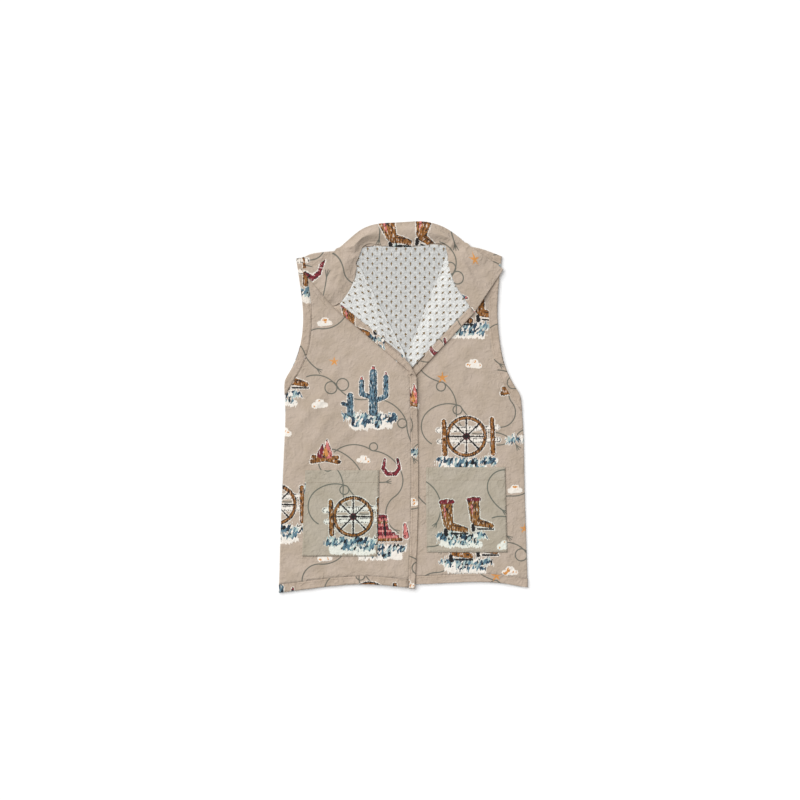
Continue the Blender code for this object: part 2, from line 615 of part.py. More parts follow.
def make_front_band(name, side, material):
    """The band along a front's edge, folded over with the lapel and carried on to its tip."""
    foot = LAPEL[side].fold_foot[1]
    hem = through(HEM[side], FRONT_EDGE[side][0].across)
    above = above_hem_at_front(side)
    ends = mirrored(side, lapel_ends(side)[:LAPEL_TIP_ROW])[:, 1]
    heights = [hem, above, *(row.across for row in FRONT_ROWS[side] if row.across < foot - BAND_FOLD.below)]
    heights += [*np.arange(foot - BAND_FOLD.below, foot + BAND_FOLD.above, BAND_FOLD.step)]
    heights += [height for height in ends if height > heights[-1] + BAND_FOLD.step]
    edges = [((flat_edge(side, y), y), (flat_edge(side, y) + side * FRONT_BAND, y)) for y in heights]
    edges.append(mirrored(side, np.array([LAPEL[side].tip, lapel_tip(side, FRONT_BAND)])))
    edges = np.array(edges)
    grid = [[folded(side, outer + (inner - outer) * share) for outer, inner in edges]
            for share in np.linspace(0, 1, 5)]
    grid = np.array(grid)
    wall(name, grid, normals_of(grid) * side, -WALL / 2, WALL / 2, material)


def collar_line(line):
    """Points across the collar at one place, through its neck seam, ridge, rim, under side and edge."""
    named = [At(number, point) for number, point in enumerate(line)]
    at = [number + step / steps for number, steps in enumerate(COLLAR_STEPS) for step in range(steps)]
    return through(named, at + [len(COLLAR_STEPS)])


def collar_front_lines(side):
    """The collar where it lies on a front, with a line across it at each end of the lapel's upper rows."""
    necks = np.vstack([LAPEL[side].tip, lapel_ends(side)[LAPEL_TIP_ROW:]])
    necks[-1] += inward_of(side) * ROLL
    ahead = np.gradient(necks, axis=0)
    aside = side * np.column_stack([ahead[:, 1], -ahead[:, 0]]) / np.linalg.norm(ahead, axis=1)[:, None]
    lines = []
    for number, (x, y) in enumerate(necks + aside * COLLAR_SEAM):
        neck = np.array([x, y, front_level(side, x, y) + LAPEL_LIFT])
        edge = through(COLLAR_OUTER[side], number / (len(necks) - 1))
        edge = np.array([*edge, front_level(side, *edge) + COLLAR_REST])
        line = [neck + (edge - neck) * share + (0, 0, rise) for share, rise in COLLAR_ACROSS]
        points = collar_line(CollarLine(*line))
        points[:, 2] = np.maximum(points[:, 2], front_level(side, points[:, 0], points[:, 1]) + COLLAR_REST)
        lines.append(points)
    return lines


def make_collar(material):
    """The collar, from its right point round the back of the neck to its left point."""
    back = [collar_line(line) for line in COLLAR_BACK]
    grid = np.array(collar_front_lines(-1) + back + collar_front_lines(1)[::-1])
    return wall("collar", grid, normals_of(grid), -COLLAR / 2, COLLAR / 2, material)


def main():
    for old in list(bpy.data.objects):
        bpy.data.objects.remove(old)
    print_cloth = new_material("printed_plain_weave", (0.474, 0.395, 0.323), 0.9)
    lining = new_material("lining_plain_weave", (0.86, 0.86, 0.85), 0.9)
    band_cloth = new_material("printed_band", (0.456, 0.381, 0.314), 0.9)
    make_back(print_cloth, lining, band_cloth)
    for side in (-1, 1):
        make_front(side, print_cloth, lining, band_cloth)
    make_collar(print_cloth)


main()
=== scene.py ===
# %% [markdown]
# # A western vest, laid flat on a pale table
# The real vest is a sleeveless shirt shape, cut from light printed cotton and lined with white sprigged
# cotton. Its edges are finished with folded bands of the print, it has a turned-down collar, folded-back
# lapels and two patch pockets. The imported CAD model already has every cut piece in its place. This script
# gives each piece its cloth: a finer surface with soft creases, the print, the lining, the weave and the
# stitches.

import math
from collections import namedtuple

import bmesh
import bpy
import numpy as np
from mathutils import Matrix, Vector
from mathutils.bvhtree import BVHTree
from mathutils.kdtree import KDTree


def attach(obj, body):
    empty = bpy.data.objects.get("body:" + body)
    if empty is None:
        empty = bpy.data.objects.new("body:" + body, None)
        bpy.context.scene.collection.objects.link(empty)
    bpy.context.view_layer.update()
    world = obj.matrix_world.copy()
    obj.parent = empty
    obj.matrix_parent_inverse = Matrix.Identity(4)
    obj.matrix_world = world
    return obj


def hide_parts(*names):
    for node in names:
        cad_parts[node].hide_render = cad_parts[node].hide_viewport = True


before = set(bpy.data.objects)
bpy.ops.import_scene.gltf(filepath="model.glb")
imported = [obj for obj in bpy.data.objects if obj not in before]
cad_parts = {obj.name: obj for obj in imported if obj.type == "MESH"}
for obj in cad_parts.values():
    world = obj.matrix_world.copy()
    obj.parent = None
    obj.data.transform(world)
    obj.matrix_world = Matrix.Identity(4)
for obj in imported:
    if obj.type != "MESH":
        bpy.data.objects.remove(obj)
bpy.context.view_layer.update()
MM = 0.001  # a millimetre, in metres
print("CAD nodes:", len(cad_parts))

# %% [markdown]
# ## The camera
# The photograph is taken straight from above, so that the vest's outline isn't foreshortened. A camera could
# be orthographic for this. A long lens far above is used, because that is what a studio has, and it leaves
# the sides of the cloth just as hidden. The picture's 800 pixels cover 1.6 m of the table.

# %% Set the camera above the table
PICTURE_WIDTH = 1.6  # metres of table across the picture
PICTURE_CENTRE = (-0.0066, 0.0132)  # the vest lies a little off the picture's middle
SENSOR = 36.0
LENS = 100.0
camera_data = bpy.data.cameras.new("camera")
camera_data.sensor_width = SENSOR
camera_data.lens = LENS


def new_object(name, data):
    """Puts a mesh, light or camera into the scene as an object at the origin."""
    made = bpy.data.objects.new(name, data)
    bpy.context.scene.collection.objects.link(made)
    return made


camera = new_object("camera", camera_data)
camera.location = (*PICTURE_CENTRE, PICTURE_WIDTH * LENS / SENSOR)
bpy.context.scene.camera = camera
print("camera height:", round(camera.location.z, 2), "m")

# %% [markdown]
# ## Colours and nodes
# Dyes and inks are easiest to name as sRGB hex values, which is how a colour picker shows them. Cycles
# calculates with linear light, so one function turns them. Another one adds a node with its settings and
# links, because a material is a long chain of them, and a third starts a material and sets its shader.

# %% Helpers for colours and nodes
def linear(code):
    """An sRGB hex value as linear red, green, blue and alpha."""
    parts = [int(code[at:at + 2], 16) / 255 for at in (1, 3, 5)]
    return (*(p / 12.92 if p <= 0.04045 else ((p + 0.055) / 1.055) ** 2.4 for p in parts), 1.0)


def add(tree, kind, inputs=None, output=0, **settings):
    """Adds a node with its settings and links, and gives back one of its outputs."""
    node = tree.nodes.new("ShaderNode" + kind)
    for name, value in settings.items():
        setattr(node, name, value)
    for socket, value in (inputs or {}).items():
        if isinstance(value, bpy.types.NodeSocket):
            tree.links.new(value, node.inputs[socket])
        else:
            node.inputs[socket].default_value = value
    return node.outputs[output]


def new_material(name, finish):
    """A material with its shader's sockets set. Gives back the material, its tree and its shader."""
    material = bpy.data.materials.new(name)
    material.use_nodes = True
    shader = material.node_tree.nodes["Principled BSDF"]
    for socket, value in finish.items():
        shader.inputs[socket].default_value = value
    return material, material.node_tree, shader


print("tan ground in linear light:", [round(value, 3) for value in linear("#b7a797")])

# %% [markdown]
# ## The table and the light
# The vest lies on a white sweep that comes out pure white, with only a faint shadow round the cloth. A studio
# does this with one very large soft light and white walls. Area lamps near the cloth would make one side of
# the table darker, so the large light is a sun with a wide angle, which lights every place alike, and the
# white room is the world. The sun stands up and left of the vest, as the shading of the creases shows.

# %% Make the table
TABLE_SIZE = 8.0
work = bmesh.new()
bmesh.ops.create_grid(work, x_segments=1, y_segments=1, size=TABLE_SIZE / 2)
table_mesh = bpy.data.meshes.new("table")
work.to_mesh(table_mesh)
work.free()
table = new_object("table", table_mesh)
PAPER = {"Base Color": linear("#fbfbfb"), "Roughness": 0.9, "Specular IOR Level": 0.2}
table_mesh.materials.append(new_material("white_paper_sweep", PAPER)[0])
print("table:", TABLE_SIZE, "m wide")

# %% Make the lights
SUN_FROM = Vector((-0.62, 0.55, 0.95))  # up and left, not high, so that it grazes the creases
SUN_STRENGTH = 2.7
SUN_ANGLE = math.radians(58)
ROOM_STRENGTH = 0.47
sun_light = bpy.data.lights.new("large_soft_light", "SUN")
sun_light.energy = SUN_STRENGTH
sun_light.angle = SUN_ANGLE
sun = new_object("large_soft_light", sun_light)
sun.rotation_euler = (-SUN_FROM).to_track_quat("-Z", "Y").to_euler()
world = bpy.data.worlds.new("white_room")
world.use_nodes = True
world.node_tree.nodes["Background"].inputs["Color"].default_value = (1.0, 1.0, 1.0, 1.0)
world.node_tree.nodes["Background"].inputs["Strength"].default_value = ROOM_STRENGTH
bpy.context.scene.world = world
bpy.context.scene.view_settings.view_transform = "Standard"
print("light on the table:", round(ROOM_STRENGTH + SUN_STRENGTH * SUN_FROM.normalized().z / math.pi, 2))

# %% [markdown]
# ## Creases
# Washed cotton never lies quite flat: long soft drag lines run across the fronts, and small crinkles lie
# between them. They could be drawn with a bump map alone, but then a low view would show a flat sheet. Here
# every point of the cloth is lifted by the same function of its place on the table, so that layers which lie
# on each other keep their distance.

# %% The ridges and the crinkles
Crease = namedtuple("Crease", "x y turn length width height")
CREASES = (  # long soft ridges, in mm and degrees
    Crease(-196, -20, 52, 150, 20, 2.0),
    Crease(-176, -60, 58, 190, 18, 1.8),
    Crease(-150, 40, 64, 170, 17, 1.6),
    Crease(-222, -120, 80, 160, 15, 1.4),
    Crease(-120, -60, 38, 150, 20, 1.4),
    Crease(-205, -330, 28, 150, 16, 1.8),
    Crease(-150, -335, 12, 130, 13, 1.4),
    Crease(-60, -325, -14, 120, 14, 1.2),
    Crease(-70, 20, -42, 170, 20, 1.5),
    Crease(-40, -80, -60, 140, 16, 1.2),
    Crease(-20, 95, -48, 120, 16, 1.5),
    Crease(60, 60, 46, 150, 18, 1.4),
    Crease(100, 10, 70, 170, 20, 1.5),
    Crease(150, -20, 112, 190, 18, 1.7),
    Crease(190, 20, 125, 160, 17, 1.7),
    Crease(215, -90, 100, 170, 17, 1.5),
    Crease(90, -90, 150, 150, 18, 1.2),
    Crease(215, -270, 84, 150, 15, 1.5),
    Crease(120, -325, 172, 140, 14, 1.4),
    Crease(40, -250, 95, 170, 16, 1.0),
    Crease(-140, 262, 62, 110, 13, 1.6),
    Crease(-118, 280, 70, 100, 10, 1.4),
    Crease(-160, 250, 35, 110, 14, 1.2),
    Crease(150, 255, -38, 110, 14, 1.2),
    Crease(124, 285, -66, 110, 11, 1.5),
    Crease(-30, 250, 78, 130, 18, 1.1),
    Crease(40, 230, 108, 130, 18, 1.1),
    Crease(-62, 215, 118, 120, 16, 1.6),
    Crease(5, 180, 96, 110, 16, 1.0),
)
Crinkle = namedtuple("Crinkle", "seed turn along across height")
CRINKLES = (  # small irregular ridges: direction, mean length and width, height
    Crinkle(3, 35, 48, 20, 0.9),
    Crinkle(8, -28, 36, 15, 0.65),
    Crinkle(13, 80, 26, 11, 0.4),
)
print("long ridges:", len(CREASES), "and layers of crinkles:", len(CRINKLES))

# %% Creases as a function of the place on the table
NOISE_VALUES = 128  # random values each way, after which the noise repeats
WAVER = 9.0  # a ridge isn't straight: how far it wavers, and over what length, in mm
WAVER_LENGTH = 60.0
WAVER_SEED = 5
WAVER_START = 20  # which of the random values lie at the table's middle
CRINKLE_START = 40
RIDGE_FALL = 1.2  # how steeply a ridge falls to its sides
CRINKLE_POWER = 1.5  # above 1, so that the ground between crinkles is wider than they are


def ease(x):
    """0 below 0, 1 above 1 and smooth between."""
    x = np.clip(x, 0.0, 1.0)
    return x * x * (3 - 2 * x)


def cloudy(x, y, seed):
    """Smooth noise from 0 to 1 with one random value for each whole x and y."""
    values = np.random.RandomState(seed).rand(NOISE_VALUES, NOISE_VALUES)
    column, row = np.floor(x).astype(int), np.floor(y).astype(int)
    across, up = ease(x - column), ease(y - row)
    corner = [
        values[(row + j) % NOISE_VALUES, (column + i) % NOISE_VALUES] for j in (0, 1) for i in (0, 1)]
    low = corner[0] + (corner[1] - corner[0]) * across
    high = corner[2] + (corner[3] - corner[2]) * across
    return low + (high - low) * up


def turned(x, y, degrees):
    """The place measured along and across a direction."""
    turn = math.radians(degrees)
    return x * math.cos(turn) + y * math.sin(turn), y * math.cos(turn) - x * math.sin(turn)


def crease_height(x, y):
    """How far the creases lift the cloth at a place on the table, in mm. It is never below 0."""
    height = np.zeros(len(x))
    column, row = x / WAVER_LENGTH + WAVER_START, y / WAVER_LENGTH + WAVER_START
    bend = WAVER * (cloudy(column, row, WAVER_SEED) - 0.5)
    for row in CREASES:
        along, across = turned(x - row.x, y - row.y, row.turn)
        along, across = 2 * along / row.length, 2 * (across + bend) / row.width
        height += row.height * ease(1 - along ** 2) * np.exp(-across ** 2 * RIDGE_FALL)
    for row in CRINKLES:
        along, across = turned(x, y, row.turn)
        along, across = along / row.along + CRINKLE_START, (across + bend) / row.across + CRINKLE_START
        field = cloudy(along, across, row.seed)
        height += row.height * (1 - np.abs(2 * field - 1)) ** CRINKLE_POWER
    return height


sample = crease_height(np.linspace(-200, 200, 400), np.zeros(400))
print("creases lift the cloth by", round(sample.min(), 2), "to", round(sample.max(), 2), "mm")

# %% [markdown]
# ## Where layers are sewn together
# The front lies loose on the back, so it can crease more than the back does. At the side seams, the
# shoulder seams and the back of the neck both are sewn together, and there they have to lift by the same
# amount. The creases could be drawn separately for each layer, but then the layers would cut through each
# other. One field with a share for each layer keeps them apart everywhere.

# %% The share of the creases that each layer takes
SEWN_LINES = (  # side seams, shoulder seams and back neck, in mm
    ((-235, 40), (-236, -17), (-242, -167), (-248, -360)),
    ((234, 40), (241, -92), (242, -167), (249, -360)),
    ((-216, 296), (-180, 305), (-120, 318), (-92, 296), (-70, 268), (-3, 246)),
    ((192, 302), (150, 316), (110, 326), (88, 304), (66, 272), (-3, 246)),
)
SEWN_SHARE = 0.3
SEWN_REACH = 45.0


def line_distance(x, y, line):
    """The distance from places to a broken line."""
    best = np.full(len(x), np.inf)
    for (ax, ay), (bx, by) in zip(line[:-1], line[1:]):
        dx, dy = bx - ax, by - ay
        part = np.clip(((x - ax) * dx + (y - ay) * dy) / math.hypot(dx, dy) ** 2, 0.0, 1.0)
        best = np.minimum(best, np.hypot(x - ax - part * dx, y - ay - part * dy))
    return best


def cloth_lift(x, y, is_back):
    """How far a layer lifts at a place, in mm."""
    lift = crease_height(x, y)
    if is_back:
        return SEWN_SHARE * lift
    nearest = np.min([line_distance(x, y, line) for line in SEWN_LINES], axis=0)
    return lift * (SEWN_SHARE + (1 - SEWN_SHARE) * ease(nearest / SEWN_REACH))


print("share at a side seam:", SEWN_SHARE, "and 1 beyond", SEWN_REACH, "mm")

# %% [markdown]
# ## From a CAD node to a piece of cloth
# Each CAD node is already a thin shell in the piece's own cut and place, with few faces. Modelling each
# piece again would only invite gaps. So a copy of the node is merged, its triangles are joined to quads,
# its real edges are marked as creases, and a Subdivision Surface makes the rest round and fine enough for
# the creases.

# %% Helpers that make the cloth
EDGE_ANGLE = math.radians(62)  # two faces that meet at more than this have a cut edge, which stays sharp
FLAT_ANGLE = math.radians(30)  # two triangles join to a quad when they are flatter to each other than this
SQUARE_ANGLE = math.radians(80)  # and when the quad's corners are no further than this from square
SMOOTH_ANGLE = math.radians(50)  # shading is smooth up to this angle
MERGE_DISTANCE = 1e-6  # in metres


def finer_copy(node, levels):
    """A copy of a CAD node, merged, joined to quads and subdivided, with its cut edges kept sharp."""
    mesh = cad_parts[node].data.copy()
    mesh.materials.clear()
    work = bmesh.new()
    work.from_mesh(mesh)
    bmesh.ops.remove_doubles(work, verts=work.verts, dist=MERGE_DISTANCE)
    bmesh.ops.join_triangles(
        work, faces=work.faces, angle_face_threshold=FLAT_ANGLE, angle_shape_threshold=SQUARE_ANGLE)
    crease = work.edges.layers.float.new("crease_edge")
    for edge in work.edges:
        if edge.is_manifold and edge.calc_face_angle() > EDGE_ANGLE:
            edge[crease] = 1.0
    work.to_mesh(mesh)
    work.free()
    piece = new_object("cloth_" + node, mesh)
    finer = piece.modifiers.new("finer", "SUBSURF")
    finer.levels = finer.render_levels = levels
    view = bpy.context.evaluated_depsgraph_get()
    fine = bpy.data.meshes.new_from_object(piece.evaluated_get(view))
    piece.modifiers.clear()
    piece.data = fine
    bpy.data.meshes.remove(mesh)
    return piece


def rows_of(piece, field):
    """A field of the piece's points, as rows of x, y and z."""
    values = np.empty(len(piece.data.vertices) * 3)
    piece.data.vertices.foreach_get(field, values)
    return values.reshape(-1, 3)


def points_of(piece):
    """The piece's points in mm, as rows of x, y and z."""
    return rows_of(piece, "co") / MM


def corners_of(mesh):
    """Which point each corner of the mesh's faces is, face by face."""
    corners = np.empty(len(mesh.loops), dtype=int)
    mesh.loops.foreach_get("vertex_index", corners)
    return corners


def move_points(piece, places):
    """Puts the piece's points at places given in mm."""
    piece.data.vertices.foreach_set("co", (places * MM).ravel())
    piece.data.update()


def drape(piece, is_back=False):
    """Lifts the piece by the creases and shades it smooth up to its cut edges."""
    places = points_of(piece)
    places[:, 2] += cloth_lift(places[:, 0], places[:, 1], is_back)
    move_points(piece, places)
    piece.data.shade_smooth()
    piece.data.set_sharp_from_angle(angle=SMOOTH_ANGLE)


print("edges sharper than", round(math.degrees(EDGE_ANGLE)), "degrees stay sharp")

# %% [markdown]
# ## The pieces
# A maker cuts eighteen pieces for this vest: the back and its lining, two fronts with their linings, two
# pockets, the collar, and the folded bands on the edges. Each is one row of this table, so the print can be
# shifted from piece to piece, as it is when pieces are cut from a length of cloth.

# %% Make the pieces of cloth
Piece = namedtuple("Piece", "node fineness cloth shift")
PIECES = (  # node, subdivision levels, cloth, and where on the length of cloth it is cut, in mm
    Piece("back", 3, "print", (900, 300)),
    Piece("back_lining", 3, "back_lining", (0, 0)),
    Piece("front_right", 3, "print", (342, 340)),
    Piece("front_right_lining", 3, "lining", (6, 3)),
    Piece("front_left", 3, "print", (334, 439)),
    Piece("front_left_lining", 3, "lining", (11, 5)),
    Piece("collar", 3, "print", (82, 269)),
    Piece("pocket_right", 3, "pocket", (188, 364)),
    Piece("pocket_left", 3, "pocket", (-28, 622)),
    Piece("armhole_band_right_front", 2, "band", (2100, 100)),
    Piece("armhole_band_right_back", 2, "band", (2150, 500)),
    Piece("armhole_band_left_front", 2, "band", (2210, 800)),
    Piece("armhole_band_left_back", 2, "band", (2250, 1100)),
    Piece("front_band_right", 2, "band", (2400, 700)),
    Piece("front_band_left", 2, "band", (2480, 100)),
    Piece("hem_band_back", 2, "band", (2700, 900)),
    Piece("hem_band_right", 2, "band", (2760, 300)),
    Piece("hem_band_left", 2, "band", (2830, 600)),
)
cloths = {}
for row in PIECES:
    cloths[row.node] = finer_copy(row.node, row.fineness)
    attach(cloths[row.node], "root")
    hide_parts(row.node)
print("triangles:", {name: 2 * len(piece.data.polygons) for name, piece in cloths.items()})

# %% [markdown]
# ## Closing the seams
# The CAD solids keep a small gap beside each folded band, because two solids may not share a wall. Cloth is
# sewn edge on edge, so no gap may show. Joining the meshes would hide where one piece ends. Instead, where
# the rim of a band or of the collar faces its neighbour, it is pushed a little way over it. A band's top is
# also raised by a fraction of a millimetre, which is how a folded band sits on its seam.

# %% Push the rims over their neighbours
SEAM_OVERLAP = 0.8  # all lengths here are in mm
BAND_RISE = 0.14
BAND_REACH = 1.5  # how far from a band's rim its neighbour is looked for
FRONT_BAND_REACH = 6.0
COLLAR_REACH = 2.4
RIM_LEAN = 0.45  # a point whose normal leans out by this share is on the rim
TOP_LEAN = 0.3  # a point whose normal points up by this share is on the top
TOUCHING = 0.3  # nearer than this, the rim already meets its neighbour
TOWARD = 0.5  # the share of the way to the neighbour that has to lie straight out from the rim
SeamReach = namedtuple("SeamReach", "piece neighbours reach")
BACK = ("back", "back_lining")
SEAMS = [
    SeamReach("hem_band_back", BACK, BAND_REACH),
    SeamReach("collar", ("front_right_lining", "front_left_lining", "back_lining"), COLLAR_REACH),
]
for side in ("right", "left"):
    front = ("front_" + side, "front_" + side + "_lining")
    SEAMS += [
        SeamReach("front_band_" + side, front, FRONT_BAND_REACH),
        SeamReach("armhole_band_" + side + "_front", front, BAND_REACH),
        SeamReach("armhole_band_" + side + "_back", BACK, BAND_REACH),
        SeamReach("hem_band_" + side, front, BAND_REACH),
    ]


def search_tree(names):
    """A search tree of the named pieces' faces, in mm. After subdivision every face has four corners."""
    points, faces, count = [], [], 0
    for name in names:
        mesh = cloths[name].data
        faces += (corners_of(mesh).reshape(-1, 4) + count).tolist()
        points.append(points_of(cloths[name]))
        count += len(mesh.vertices)
    return BVHTree.FromPolygons(np.concatenate(points).tolist(), faces)


def close_seam(row):
    """Moves the rim points that face a neighbour over it, and gives back how many moved."""
    tree = search_tree(row.neighbours)
    places, facing = points_of(cloths[row.piece]), rows_of(cloths[row.piece], "normal")
    moved = 0
    for index in np.flatnonzero(np.hypot(facing[:, 0], facing[:, 1]) > RIM_LEAN):
        start = Vector(places[index])
        nearest, _, _, distance = tree.find_nearest(start, row.reach)
        if nearest is None:
            continue
        out = Vector((facing[index, 0], facing[index, 1], 0.0)).normalized()
        toward = Vector((nearest.x - start.x, nearest.y - start.y, 0.0))
        if distance > TOUCHING and toward.dot(out) < TOWARD * distance:
            continue
        places[index] += out * (toward.length + SEAM_OVERLAP)
        moved += 1
    if "band" in row.piece:
        places[:, 2] += BAND_RISE * (facing[:, 2] > TOP_LEAN)
    move_points(cloths[row.piece], places)
    return moved


for row in SEAMS:
    print(row.piece, "rim points moved:", close_seam(row))

# %% [markdown]
# ## Where each piece is cut from the cloth
# A print and a weave belong to the cloth, not to the table, so each piece needs to know which place of the
# cloth every point comes from. Unwrapping would give a map in no real unit. The pieces lie almost flat, so
# their own x and y serve, in metres, with three exceptions: on the lapels the lining is folded over and so
# its map is mirrored at the fold, and the collar is a strip that runs round the neck.

# %% Give each piece its map
Fold = namedtuple("Fold", "foot top")
FOLDS = {  # where the lapels fold back, in mm
    "front_right_lining": Fold((26.4, 58.2), (-92.6, 289.2)),
    "front_left_lining": Fold((-34.6, -1.4), (87.4, 303.2)),
}
NECK_CENTRE = (-2.0, 222.0)
NECK_RADIUS = 110.0


def mirrored(x, y, fold):
    """A place mirrored at a fold."""
    dx, dy = fold.top[0] - fold.foot[0], fold.top[1] - fold.foot[1]
    length = math.hypot(dx, dy)
    dx, dy = dx / length, dy / length
    off = (x - fold.foot[0]) * dy - (y - fold.foot[1]) * dx
    return x - 2 * off * dy, y + 2 * off * dx


def round_neck(x, y):
    """A place measured along the collar and across it."""
    x, y = x - NECK_CENTRE[0], y - NECK_CENTRE[1]
    return NECK_RADIUS * np.arctan2(x, y), np.hypot(x, y)


for row in PIECES:
    piece = cloths[row.node]
    places = points_of(piece)
    x, y = places[:, 0], places[:, 1]
    if row.node in FOLDS:
        x, y = mirrored(x, y, FOLDS[row.node])
    elif row.node == "collar":
        x, y = round_neck(x, y)
    cut = np.stack([x + row.shift[0], y + row.shift[1]], axis=1) * MM
    for old in list(piece.data.uv_layers):
        piece.data.uv_layers.remove(old)
    piece.data.uv_layers.new(name="cut").data.foreach_set("uv", cut[corners_of(piece.data)].ravel())
print("maps in metres:", len(PIECES))

# %% [markdown]
# ## The lapels and the collar roll over
# A lapel isn't folded with an iron: at its fold the cloth rolls over softly and comes down on the back
# lining. The collar rolls into the neck in the same way. Bending each layer by hand would be slow. Here all
# the layers near such an edge are pressed toward whatever lies below them, most at the edge itself, and
# because all are pressed by the same share, none passes another.

# %% Measure how near a rolled edge is
ROLL_WIDTH = 25.0
FOLD_RUN_IN = 0.2  # the share of the fold, from its foot, where the roll begins
CUT_EDGE_LEAN = 0.5  # a point whose normal points up or down by less than this is on a cut edge


def fold_nearness(places, fold):
    """1 at a lapel's fold and 0 beyond the roll, for places in mm."""
    along = Vector(fold.top) - Vector(fold.foot)
    x, y = places[:, 0] - fold.foot[0], places[:, 1] - fold.foot[1]
    share = (x * along.x + y * along.y) / along.length_squared
    off = np.abs(x * along.y - y * along.x) / along.length
    return ease(1 - off / ROLL_WIDTH) * ease(share / FOLD_RUN_IN)


def distance_from(rim, places):
    """How far places are from the nearest of some rim points, seen from above, in mm."""
    tree = KDTree(len(rim))
    for index, (x, y) in enumerate(rim[:, :2].tolist()):
        tree.insert((x, y, 0.0), index)
    tree.balance()
    return np.array([tree.find((x, y, 0.0))[2] for x, y in places[:, :2].tolist()])


def neck_distance(places):
    """How far places are from the collar's edge in the neck, in mm."""
    rim, facing = points_of(cloths["collar"]), rows_of(cloths["collar"], "normal")
    inward = (NECK_CENTRE[0] - rim[:, 0]) * facing[:, 0] + (NECK_CENTRE[1] - rim[:, 1]) * facing[:, 1]
    return distance_from(rim[(np.abs(facing[:, 2]) < CUT_EDGE_LEAN) & (inward > 0)], places)


from_neck = neck_distance(points_of(cloths["collar"]))
print("the collar reaches", round(from_neck.max()), "mm from the neck")

# %% Press a piece toward what lies below it
ROLL_KEPT = 0.12  # the share of its height that a rolled edge keeps
ROLL_GAP = 0.1
ROLL_STARTS = 0.001  # where the nearness is less than this, the piece isn't pressed
FLOOR_FROM = (-270.0, -90.0)  # the corners of the grid on which the floor is measured
FLOOR_TO = (271.0, 391.0)
FLOOR_STEP = 3.0
FLOOR_REACH = 4  # steps over which the floor is smoothed
LOOK_FROM = 100.0  # the height above all cloth from which the floor is looked for


def floor_below(names, x, y):
    """The height of the pieces below at some places, with its steps smoothed away, in mm."""
    tree = search_tree(names)
    across = np.arange(FLOOR_FROM[0], FLOOR_TO[0], FLOOR_STEP)
    up = np.arange(FLOOR_FROM[1], FLOOR_TO[1], FLOOR_STEP)
    heights = np.zeros((len(up), len(across)))
    for row, place_y in enumerate(up):
        for column, place_x in enumerate(across):
            hit = tree.ray_cast(Vector((place_x, place_y, LOOK_FROM)), Vector((0.0, 0.0, -1.0)))[0]
            heights[row, column] = hit.z if hit else 0.0
    shifts = range(2 * FLOOR_REACH + 1)
    for smooth in (np.max, np.mean):
        wide = np.pad(heights, FLOOR_REACH, mode="edge")
        heights = smooth(
            [wide[j:j + len(up), i:i + len(across)] for j in shifts for i in shifts], axis=0)
    column, row = (x - across[0]) / FLOOR_STEP, (y - up[0]) / FLOOR_STEP
    i, j = column.astype(int), row.astype(int)
    near_x, near_y = column - i, row - j
    low = heights[j, i] + (heights[j, i + 1] - heights[j, i]) * near_x
    high = heights[j + 1, i] + (heights[j + 1, i + 1] - heights[j + 1, i]) * near_x
    return low + (high - low) * near_y


def press_down(name, near, below):
    """Presses a piece toward the top of the pieces below it, and gives back how far at most."""
    places = points_of(cloths[name])
    chosen = np.flatnonzero(near > ROLL_STARTS)
    floor = floor_below(below, places[chosen, 0], places[chosen, 1]) + ROLL_GAP
    lower = np.maximum(places[chosen, 2] - floor, 0.0) * near[chosen] * (1 - ROLL_KEPT)
    places[chosen, 2] -= lower
    move_points(cloths[name], places)
    return lower.max()


print("a rolled edge keeps", ROLL_KEPT, "of its height")

# %% Roll the lapels and the collar
COLLAR_ROLL_WIDTH = 16.0
Ridge = namedtuple("Ridge", "from_neck half_width height")
COLLAR_RIDGE = Ridge(26.0, 26.0, 3.6)
UNDER_LEFT_LAPEL = ("back_lining",)
UNDER_RIGHT_LAPEL = ("back_lining", "front_left", "front_left_lining", "front_band_left")
UNDER_COLLAR = ("back_lining", "front_left", "front_left_lining", "front_right", "front_right_lining")
for side, below in (("left", UNDER_LEFT_LAPEL), ("right", UNDER_RIGHT_LAPEL)):
    for name in ("front_" + side, "front_" + side + "_lining"):
        near = fold_nearness(points_of(cloths[name]), FOLDS["front_" + side + "_lining"])
        print(name, "pressed down by up to", round(press_down(name, near, below), 1), "mm")
pressed = press_down("collar", ease(1 - from_neck / COLLAR_ROLL_WIDTH), UNDER_COLLAR)
places = points_of(cloths["collar"])
ridge_nearness = 1 - np.abs(from_neck - COLLAR_RIDGE.from_neck) / COLLAR_RIDGE.half_width
places[:, 2] += COLLAR_RIDGE.height * ease(ridge_nearness)
move_points(cloths["collar"], places)
print("collar pressed down by up to", round(pressed, 1), "mm and raised by", COLLAR_RIDGE.height, "mm")

# %% [markdown]
# ## Seams draw the cloth in
# A stitched seam shrinks in the wash more than the cloth beside it, and the cloth puckers there. The
# material has to know how near a seam is. A painted mask would do that. Here it is calculated for each point
# from the distance to the nearest cut edge, and kept as an attribute, because it then follows the pieces.

# %% Note how near each point is to a seam, and drape the cloth
SEAM_WIDTH = 24.0
ON_TOP = {  # pieces sewn on top of others
    "front_right": ("pocket_right",),
    "front_left": ("pocket_left",),
    "front_right_lining": ("front_band_right", "collar"),
    "front_left_lining": ("front_band_left", "collar"),
    "back_lining": ("collar",),
}
BACK_PIECES = ("back", "back_lining", "hem_band_back", "armhole_band_right_back", "armhole_band_left_back")


def seam_nearness(name):
    """1 at a cut edge or a seam and 0 beyond the seam's width, for each point of a piece."""
    rims = []
    for other in (name, *ON_TOP.get(name, ())):
        on_edge = np.abs(rows_of(cloths[other], "normal")[:, 2]) < CUT_EDGE_LEAN
        rims.append(points_of(cloths[other])[on_edge])
    return ease(1 - distance_from(np.concatenate(rims), points_of(cloths[name])) / SEAM_WIDTH)


